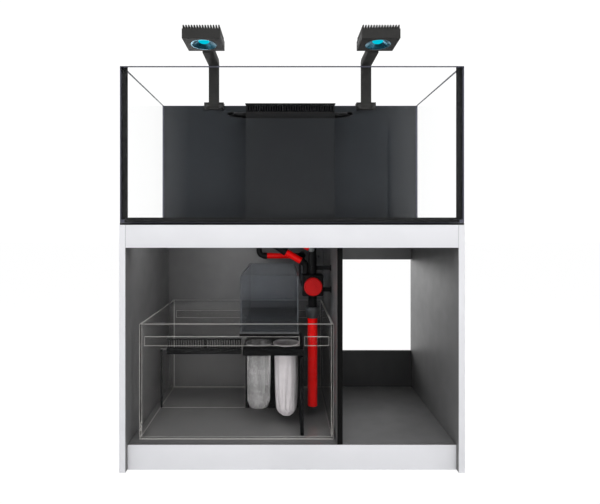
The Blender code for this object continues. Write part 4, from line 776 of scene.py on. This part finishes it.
# ---------------------------------------------------------------- downpipe and its union
# A red PVC tube that hangs in the sump from a ribbed grey union nut.
low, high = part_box("downpipe")
bm = bmesh.new()
turn_profile(bm, [(0.0165, high.z), (0.0190, high.z), (0.0195, high.z - 0.0005), (0.0195, low.z + 0.0008),
                  (0.0187, low.z), (0.0165, low.z), (0.0165, high.z)], (drain_x, valve_y, 0), sides=64)
# The downpipe's red is lighter than that of the other red pipes: painted light that makes up for the lamp
# light the sump's panes hold back.
downpipe_painted_light_red = grained("downpipe_painted_light_red", (0.97, 0.004, 0.004), (0.88, 0.004, 0.004), 12, 0.6, 700, 0.12, 0.3,
                       0.12,
                       specular_ior_level=0.08)
piece("downpipe_tube", bm, [downpipe_painted_light_red], stands_for=["downpipe"])
low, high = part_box("union_nut")
bm = bmesh.new()
tall = high.z - low.z
turn_profile(bm, [(0.0198, 0.0), (0.0228, 0.0), (0.0233, 0.0006), (0.0275, tall - 0.0225),
                  (0.0281, tall - 0.020),
                  (0.0281, tall - 0.0016), (0.0270, tall), (0.0178, tall), (0.0178, tall - 0.005),
                  (0.0198, tall - 0.005), (0.0198, 0.0)], (drain_x, valve_y, low.z))
rib = bmesh.new()
add_block(rib, (0.0272, -0.0016, tall - 0.0205), (0.0290, 0.0016, tall - 0.0012), 0.0006)
ribs = copies(rib, 20, (0, 0, 0), 2 * math.pi / 20, grey_moulding)
bmesh.ops.translate(ribs, verts=ribs.verts, vec=(drain_x, valve_y, low.z))
joined(bm, ribs)
piece("union_nut_moulding", bm, [grey_moulding], "union_nut", ["union_nut"])


# ---------------------------------------------------------------- pipe clips
# Two moulded brackets screwed to the divider: a C that grips the drain, and a stay against the valve block.
board("pipe_clip_upper", inside=black_moulding, outside=black_moulding, width=0.0006)
board("pipe_clip_lower", inside=black_moulding, outside=black_moulding, width=0.0006)


# ---------------------------------------------------------------- sump tank
# Clear 8 mm acrylic panes bonded edge to edge. Their sawn and polished edges show as pale lines. A low pane
# across the middle carries the comb, and three bars brace the walls under the rim.
sump_clear = through_glass("sump_clear", (0.980, 0.977, 0.975), haze=0.002, marks=0.012, ior=1.07)
sawn_edge = grained("sawn_edge", (0.44, 0.43, 0.41), (0.36, 0.35, 0.34), 40, 0.6, 1400, 0.35, 0.35, 0.2)

low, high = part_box("sump_tank")
wall, gap = 0.008, 0.00015
partition_y, partition_top = 0.018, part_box("sump_comb")[1].z - 0.044
baffle_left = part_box("filter_baffle")[0].x
base_top = low.z + wall
bm = bmesh.new()
pane(bm, (low.x, low.y + wall + gap, low.z), (high.x, high.y, base_top), 0.0006)
pane(bm, (low.x, low.y, low.z), (high.x, low.y + wall, high.z), 0.0013)
pane(bm, (low.x, high.y - wall, base_top + gap), (high.x, high.y, high.z), 0.0006)
for x0 in (low.x, high.x - wall):
    pane(bm, (x0, low.y + wall + gap, base_top + gap), (x0 + wall, high.y - wall - gap, high.z), 0.0013)
paint_faces(bm, 0, lambda f: f.normal.y < -0.9)
pane(bm, (low.x + wall + gap, partition_y, base_top + gap),
     (baffle_left - 0.0003, partition_y + 0.006, partition_top),
     0.0006)
piece("sump_panes", bm, [sump_clear, sawn_edge], stands_for=["sump_tank"], sharp=20)
for node in ("brace_front_long", "brace_front_short", "brace_rear"):
    bm = bmesh.new()
    pane(bm, *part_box(node), 0.0009)
    piece(f"{node}_bar", bm, [sump_clear, sawn_edge], stands_for=[node], sharp=20)

# Black silicone runs down the partition's end on the left wall, on both of its faces.
bm = bmesh.new()
seam_x = low.x + wall + gap
for y, turn in ((partition_y, -1), (partition_y + 0.006, 1)):
    extruded(bm, [(0.0001, 0.0)] + [(x, y2) for x, y2 in tooled(0.0058)],
             Matrix(((1, 0, 0, seam_x), (0, turn, 0, y + turn * 0.0001), (0, 0, 1, base_top + 0.001),
                     (0, 0, 0, 1))),
             partition_top - base_top - 0.002)
piece("partition_seam", bm, [black_silicone], sharp=50)


# ---------------------------------------------------------------- baffle, comb and cup holder of the sump
# Black acrylic sheet glued into an L forms the filter chamber, and a thick routed plate on it carries two
# cups. A slotted strip straddles the clear partition, and keeps snails out of the next chamber.
sump_black = grained("sump_black", (0.0030, 0.0030, 0.0034), (0.0045, 0.0045, 0.005), 6, 0.6, 600, 0.1, 0.4,
                     0.1,
                     specular_ior_level=0.02)
bm = cleaned("filter_baffle")
ease(bm, 0.0008, 1, 40)
piece("filter_baffle_sheets", bm, [sump_black], stands_for=["filter_baffle"], sharp=25)

low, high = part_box("sump_comb")
rest = partition_top + 0.0003
front_y, back_y = partition_y, partition_y + 0.006
bm = bmesh.new()
add_block(bm, (low.x, low.y, low.z), (high.x, front_y - 0.0003, rest + 0.003), 0.0008)
add_block(bm, (low.x, back_y + 0.0003, low.z), (high.x, high.y, rest + 0.003), 0.0008)
add_block(bm, (low.x + 0.0004, front_y - 0.001, rest), (high.x - 0.0004, back_y + 0.001, rest + 0.0058),
          0.0005)
add_block(bm, (low.x, front_y, high.z - 0.006), (high.x, back_y, high.z), 0.0008)
pitch = (high.x - low.x) / 31
tooth = bmesh.new()
first = low.x + pitch * 0.5
tooth_half = (pitch - 0.0055) / 2
add_block(tooth, (first - tooth_half, front_y + 0.0004, rest + 0.005), (first + tooth_half, back_y - 0.0004,
                                                                         high.z - 0.005), 0.0007)
joined(bm, copies(tooth, 31, (pitch, 0, 0), 0.0, black_moulding))
middle = low.x + pitch * 16
add_block(bm, (middle - pitch / 2, front_y + 0.0003, rest + 0.005), (middle + pitch / 2, back_y - 0.0003,
                                                                      high.z - 0.005), 0.0004)
notch = bmesh.new()
add_block(notch, (low.x + 0.022, front_y - 0.0012, high.z - 0.0052), (low.x + 0.029, front_y + 0.001,
                                                                       high.z - 0.0012), 0.0006)
joined(bm, copies(notch, 6, (0.0535, 0, 0), 0.0, black_moulding))
piece("sump_comb_moulding", bm, [black_moulding], "sump_comb", ["sump_comb"])

bm = cleaned("cup_holder")
ease(bm, 0.0009, 2, 40)
piece("cup_holder_plate", bm, [sump_black], stands_for=["cup_holder"], sharp=30)


# ---------------------------------------------------------------- media cup
# A blow-moulded clear cup with a rolled rim. Its lower half is drawn in and slotted between upright ribs.
clear_plastic = through_glass("clear_plastic", (0.985, 0.98, 0.98), haze=0.065, roughness=0.02, marks=0.04,
                              ior=1.42)
low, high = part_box("media_cup")
cup = ((low.x + high.x) / 2, (low.y + high.y) / 2, 0)
rim_top = high.z
bm = bmesh.new()
shell = [(0.0435, rim_top), (0.0490, rim_top), (0.0499, rim_top - 0.001), (0.0499, rim_top - 0.0034),
         (0.0490, rim_top - 0.0039), (0.0459, rim_top - 0.004), (0.0457, 0.252), (0.0449, 0.249),
         (0.0447, 0.246),
         (0.0446, 0.228), (0.0405, 0.220), (0.0398, 0.190), (0.0388, 0.178), (0.0360, 0.170),
         (0.0300, 0.1655),
         (0.0150, 0.1642), (0, 0.1640)]
inner = [(0, 0.1660), (0.0150, 0.1662), (0.0292, 0.1675), (0.0345, 0.1716), (0.0368, 0.179), (0.0378, 0.190),
         (0.0385, 0.2208), (0.0426, 0.229), (0.0429, 0.250), (0.0435, 0.256), (0.0435, rim_top)]
turn_profile(bm, shell + inner, cup, sides=72)
rib = bmesh.new()
add_block(rib, (0.0396, -0.0010, 0.188), (0.0438, 0.0010, 0.247), 0.0006)
ribs = copies(rib, 26, (0, 0, 0), 2 * math.pi / 26, clear_plastic)
bmesh.ops.translate(ribs, verts=ribs.verts, vec=cup)
joined(bm, ribs)
ring = bmesh.new()
turn_profile(ring, [(0.0400, -0.0007), (0.0414, -0.0007), (0.0418, 0), (0.0414, 0.0007), (0.0400, 0.0007),
                    (0.0400, -0.0007)], (0, 0, 0.193), sides=72)
rings = copies(ring, 5, (0, 0, 0.0062), 0.0, clear_plastic)
bmesh.ops.translate(rings, verts=rings.verts, vec=cup)
joined(bm, rings)
piece("media_cup_moulding", bm, [clear_plastic], "media_cup", ["media_cup"], 50)


# ---------------------------------------------------------------- reservoir
# A box of smoked clear acrylic for top-up water, glued up from 5 mm sheet, on a black base plate that lies
# across the sump.
smoked = through_glass("smoked", (0.87, 0.89, 0.92), haze=0.006, marks=0.012, ior=1.07, shadow=0.85)
smoked_edge = grained("smoked_edge", (0.060, 0.063, 0.066), (0.045, 0.047, 0.05), 30, 0.6, 1200, 0.3, 0.35,
                      0.15)
low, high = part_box("reservoir")
sheet = 0.005
bm = bmesh.new()
pane(bm, low, (high.x, high.y, low.z + sheet), 0.0005)
for y0 in (low.y, high.y - sheet):
    pane(bm, (low.x, y0, low.z + sheet + gap), (high.x, y0 + sheet, high.z), 0.0005)
for x0 in (low.x, high.x - sheet):
    pane(bm, (x0, low.y + sheet + gap, low.z + sheet + gap), (x0 + sheet, high.y - sheet - gap, high.z),
         0.0005)
piece("reservoir_sheets", bm, [smoked, smoked_edge], "reservoir", ["reservoir"], 20)
satin_black = grained("satin_black", (0.009, 0.0088, 0.0085), (0.012, 0.0118, 0.0113), 8, 0.5, 900, 0.2,
                      0.4, 0.1,
                      specular_ior_level=0.1)
board("reservoir_base", inside=satin_black, outside=sump_black,
      is_outside=lambda f: f.normal.z < 0.7, body="reservoir", width=0.0008)


# ---------------------------------------------------------------- lights
# Each lamp is a black anodised cast housing with cooling fins on top. Underneath, a faceted reflector cone
# surrounds a small cyan lens. The housing slides on the tongue of its arm.
anodised = grained("anodised", (0.030, 0.0295, 0.0285), (0.038, 0.037, 0.036), 30, 0.6, 1600, 0.35, 0.6, 0.12,
                   specular_ior_level=0.1)
# The reflector cone's blue colour is painted glow: it stands for the lit lens's light spilling onto the cone.
reflector_painted_glow = grained("reflector_painted_glow", (0.04, 0.20, 0.29), (0.03, 0.15, 0.22), 60, 0.6, 900, 0.15, 0.22, 0.15,
                    metallic=0.7)


def lens_glow():
    """The lit lens: a cyan glow with a fine dimple pattern."""
    material = bpy.data.materials.new("lens_glow")
    material.use_nodes = True
    tree = material.node_tree
    shader = tree.nodes["Principled BSDF"]
    for socket, value in (("Base Color", (0.0, 0.02, 0.03, 1)), ("Roughness", 0.2),
                          ("Specular IOR Level", 0.0),
                          ("Emission Strength", 0.8)):
        shader.inputs[socket].default_value = value
    where = added(tree, "ShaderNodeTexCoord").outputs["Object"]
    dimples = added(tree, "ShaderNodeTexVoronoi", {"Vector": where, "Scale": 240})
    ramp = added(tree, "ShaderNodeMapRange",
                 {"Value": dimples.outputs["Distance"], "To Min": 0.85, "To Max": 1.1})
    tint = added(tree, "ShaderNodeMix", {"Factor": ramp.outputs["Result"], "A": (0.0, 0.50, 0.72, 1),
                                         "B": (0.0, 0.70, 0.90, 1)}, data_type="RGBA")
    tree.links.new(tint.outputs["Result"], shader.inputs["Emission Color"])
    return material


cyan_lens = lens_glow()
dark_screw = grained("dark_screw", (0.02, 0.02, 0.02), (0.03, 0.03, 0.03), 80, 0.6, 1200, 0.3, 0.4, 0.1,
                     metallic=0.6)
grip_black = grained("grip_black", (0.012, 0.012, 0.012), (0.02, 0.02, 0.02), 60, 0.6, 1500, 0.4, 0.5, 0.1)

for side, name in ((-1, "left"), (1, "right")):
    low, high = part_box(f"light_housing_{name}")
    lamp_x, lamp_y = (low.x + high.x) / 2, (low.y + high.y) / 2
    fin_foot = high.z - 0.015
    bm = bmesh.new()
    recess, sides = 0.0523, 64
    reach_x, reach_y = (high.x - low.x) / 2, (high.y - low.y) / 2
    corner = math.atan2(reach_y, reach_x)
    turns = [2 * math.pi * n / sides for n in range(sides)] + [corner, math.pi - corner, math.pi + corner,
                                                               2 * math.pi - corner]
    angles = sorted({round(t % (2 * math.pi), 6) for t in turns})

    def ring(radius, z, inset=0.0):
        """A round ring, or with no radius the housing's own square outline."""
        points = []
        for t in angles:
            x, y = math.cos(t), math.sin(t)
            out = radius or min(reach_x / max(abs(x), 1e-6), reach_y / max(abs(y), 1e-6))
            x, y = out * x, out * y
            if radius is None:
                x = max(-reach_x + inset, min(reach_x - inset, x))
                y = max(-reach_y + inset, min(reach_y - inset, y))
            points.append(bm.verts.new((lamp_x + x, lamp_y + y, z)))
        return points

    rings = [ring(0.012, low.z + 0.0198), ring(recess, low.z + 0.0198), ring(recess, low.z + 0.0006),
             ring(recess + 0.0006, low.z), ring(None, low.z, 0.0012), ring(None, low.z + 0.0012),
             ring(None, fin_foot - 0.0006), ring(None, fin_foot, 0.0006)]
    skinned(bm, rings)
    bm.faces.new(rings[0])
    bm.faces.new(rings[-1])
    bmesh.ops.recalc_face_normals(bm, faces=bm.faces)
    fin_pitch = (high.x - low.x) / 14
    fin = bmesh.new()
    fin_half = (fin_pitch - 0.0055) / 2
    first = low.x + fin_pitch * 0.5
    add_block(fin, (first - fin_half, low.y + 0.0006, fin_foot - 0.001),
              (first + fin_half, high.y - 0.0006, high.z),
              0.0007)
    joined(bm, copies(fin, 14, (fin_pitch, 0, 0), 0.0, anodised))
    vents = bmesh.new()
    for wall_x in (low.x, high.x):
        for n in range(5):
            y = lamp_y - 0.040 + 0.020 * n
            add_block(vents, (wall_x - 0.0004, y - 0.0065, low.z + 0.014),
                      (wall_x + 0.0004, y + 0.0065, low.z + 0.024), 0.0002, 1)
    for face in vents.faces:
        face.material_index = 1
    joined(bm, vents)
    piece(f"light_housing_{name}_casting", bm, [anodised, dark_screw], f"light_{name}",
          [f"light_housing_{name}"],
          30)

    low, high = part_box(f"led_module_{name}")
    bm = bmesh.new()
    turn_profile(bm, [(0.0225, 0.0148), (0.0300, 0.0104), (0.0370, 0.0064), (0.0440, 0.0028), (0.0502, 0.0),
                      (0.0520, 0.0), (0.0520, 0.0189), (0, 0.0189), (0, 0.0149), (0.0225, 0.0148)],
                 (lamp_x, lamp_y, low.z), sides=24)
    lens = bmesh.new()
    turn_profile(lens, [(0, -0.0052), (0.008, -0.0047), (0.0155, -0.003), (0.0205, 0.0), (0.0225, 0.0035),
                        (0, 0.0035)],
                 (lamp_x, lamp_y, low.z + 0.0120), sides=40)
    for face in lens.faces:
        face.material_index = 1
    joined(bm, lens)
    piece(f"led_module_{name}_optics", bm, [reflector_painted_glow, cyan_lens], f"light_{name}", [f"led_module_{name}"],
          20)

    # The arm is a bent flat post with a tongue, welded to a saddle that hooks over the rear pane. Two
    # knurled thumbscrews in the saddle bear on the glass.
    bm = cleaned(f"light_arm_{name}")
    ease(bm, 0.0012, 2, 25)
    piece(f"light_arm_{name}_bracket", bm, [anodised], stands_for=[f"light_arm_{name}"],
          sharp=40)
    for part in ("a", "b"):
        low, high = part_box(f"thumbscrew_{name}_{part}")
        screw_x, screw_z = (low.x + high.x) / 2, (low.z + high.z) / 2
        bm = bmesh.new()
        tall = high.y - low.y
        turn_profile(bm, [(0, 0.0), (0.0030, 0.0), (0.0030, tall - 0.009), (0.0078, tall - 0.009),
                          (0.0083, tall - 0.0084), (0.0083, tall - 0.0006), (0.0076, tall),
                          (0.0030, tall - 0.0002),
                          (0.0026, tall - 0.0014), (0, tall - 0.0016)], (screw_x, high.y, screw_z),
                     (0, -1, 0), 32)
        ridge = bmesh.new()
        add_block(ridge, (0.0080, -0.0006, 0.0), (0.0089, 0.0006, 0.0078), 0.0003, 1)
        ridges = copies(ridge, 24, (0, 0, 0), 2 * math.pi / 24, grip_black)
        bmesh.ops.transform(ridges, verts=ridges.verts,
                            matrix=Matrix.Translation((screw_x, low.y + 0.0084, screw_z))
                            @ Vector((0, -1, 0)).to_track_quat("Z", "Y").to_matrix().to_4x4())
        joined(bm, ridges)
        piece(f"thumbscrew_{name}_{part}_turned", bm, [grip_black], f"thumbscrew_{name}_{part}",
              [f"thumbscrew_{name}_{part}"], 30)


# ---------------------------------------------------------------- filter sock
# A sock sewn from 2.5 mm white polyester needle felt, with an overlocked seam down its side and a rounded
# end. Its mouth is welded to a moulded ring that lies on the holder, and the felt hangs from the ring.
white_felt = grained("white_felt", (0.575, 0.545, 0.560), (0.51, 0.485, 0.50), 45, 0.6, 1300, 1.0, 0.96, 0.03,
                     specular_ior_level=0.15, sheen_weight=0.25, sheen_roughness=0.6)
low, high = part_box("filter_sock")
sock_x, sock_y = (low.x + high.x) / 2, (low.y + high.y) / 2
flange = (high.x - low.x) / 2 - 0.0001
mouth_z, end_z, felt_reach, end_round = high.z - 0.0043, low.z + 0.001, 0.0452, 0.030
rows = []
straight = 58
for n in range(straight):
    rows.append((felt_reach, mouth_z + (end_z + end_round - mouth_z) * n / straight))
for n in range(12):
    t = math.pi / 2 * n / 12
    rows.append((felt_reach - end_round * (1 - math.cos(t)), end_z + end_round * (1 - math.sin(t))))
for radius in (0.0152, 0.0118, 0.0084, 0.0050):
    rows.append((radius, end_z))
columns = 96
bm = bmesh.new()
grid = []
for n, (radius, z) in enumerate(rows):
    slack = 0.0 if n < 6 else min(1.0, (n - 6) / 20)
    ring_of = []
    for m in range(columns):
        t = 2 * math.pi * m / columns
        wave = 0.010 * math.sin(3 * t + 0.7) + 0.007 * math.sin(5 * t + 2.1 + 0.05 * n) + 0.004 * math.sin(
            9 * t + 0.11 * n)
        r = radius * (1 + slack * (wave - 0.012))
        ring_of.append(bm.verts.new((sock_x + r * math.cos(t), sock_y + r * math.sin(t), z)))
    grid.append(ring_of)
for upper, lower in zip(grid, grid[1:]):
    for m in range(columns):
        k = (m + 1) % columns
        bm.faces.new((upper[m], lower[m], lower[k], upper[k]))
centre = bm.verts.new((sock_x, sock_y, end_z))
for m in range(columns):
    bm.faces.new((grid[-1][m], centre, grid[-1][(m + 1) % columns]))
bmesh.ops.recalc_face_normals(bm, faces=bm.faces)
felt_mesh = bpy.data.meshes.new("filter_sock_felt")
bm.to_mesh(felt_mesh)
bm.free()
felt = bpy.data.objects.new("filter_sock_felt", felt_mesh)
bpy.context.scene.collection.objects.link(felt)
held = felt.vertex_groups.new(name="mouth")
held.add(list(range(columns * 6)), 1.0, "REPLACE")
cloth = felt.modifiers.new("cloth", "CLOTH")
cloth.settings.quality = 8
cloth.settings.mass = 0.35
cloth.settings.tension_stiffness = 60
cloth.settings.compression_stiffness = 60
cloth.settings.shear_stiffness = 30
cloth.settings.bending_stiffness = 8
cloth.settings.air_damping = 4
cloth.settings.vertex_group_mass = "mouth"
cloth.point_cache.frame_start, cloth.point_cache.frame_end = 1, 24
for step in range(1, 25):
    bpy.context.scene.frame_set(step)
settled = bpy.data.meshes.new_from_object(felt.evaluated_get(bpy.context.evaluated_depsgraph_get()))
felt.modifiers.remove(cloth)
felt.vertex_groups.clear()
felt.data = settled
bpy.context.scene.frame_set(1)

# The felt's own thickness, inwards from its outer face, with the mouth and the seam sewn on.
seam_path = [felt.data.vertices[n * columns + 84].co.copy() for n in range(1, len(rows) - 3, 3)]
bm = bmesh.new()
bm.from_mesh(felt.data)
bpy.data.objects.remove(felt, do_unlink=True)
bmesh.ops.recalc_face_normals(bm, faces=bm.faces)
bm.normal_update()
outer, inside = list(bm.verts), {}
for v in outer:
    inside[v] = bm.verts.new(v.co - v.normal * 0.0025)
for face in list(bm.faces):
    bm.faces.new([inside[v] for v in reversed(face.verts)])
for edge in [e for e in bm.edges if len(e.link_faces) == 1 and e.verts[0] in inside]:
    a, b = edge.verts
    bm.faces.new((a, b, inside[b], inside[a]))
bmesh.ops.recalc_face_normals(bm, faces=bm.faces)
sock = piece("filter_sock_cloth", bm, [white_felt], "filter_sock", ["filter_sock"], 60)
bm = bmesh.new()
turn_profile(bm, [(0.0436, high.z - 0.0002), (0.0440, high.z), (flange - 0.0006, high.z),
                  (flange, high.z - 0.0006),
                  (flange, high.z - 0.0034), (flange - 0.0005, high.z - 0.0039), (0.0455, high.z - 0.0040),
                  (0.0436, high.z - 0.0042), (0.0436, high.z - 0.0002)], (sock_x, sock_y, 0), sides=72)
sock_ring = piece("filter_sock_ring", bm, [white_felt], "filter_sock", sharp=40)
bm = bmesh.new()
sweep(bm, seam_path, 0.0011, 10)
sock_seam = piece("filter_sock_seam", bm, [white_felt], "filter_sock", sharp=60)
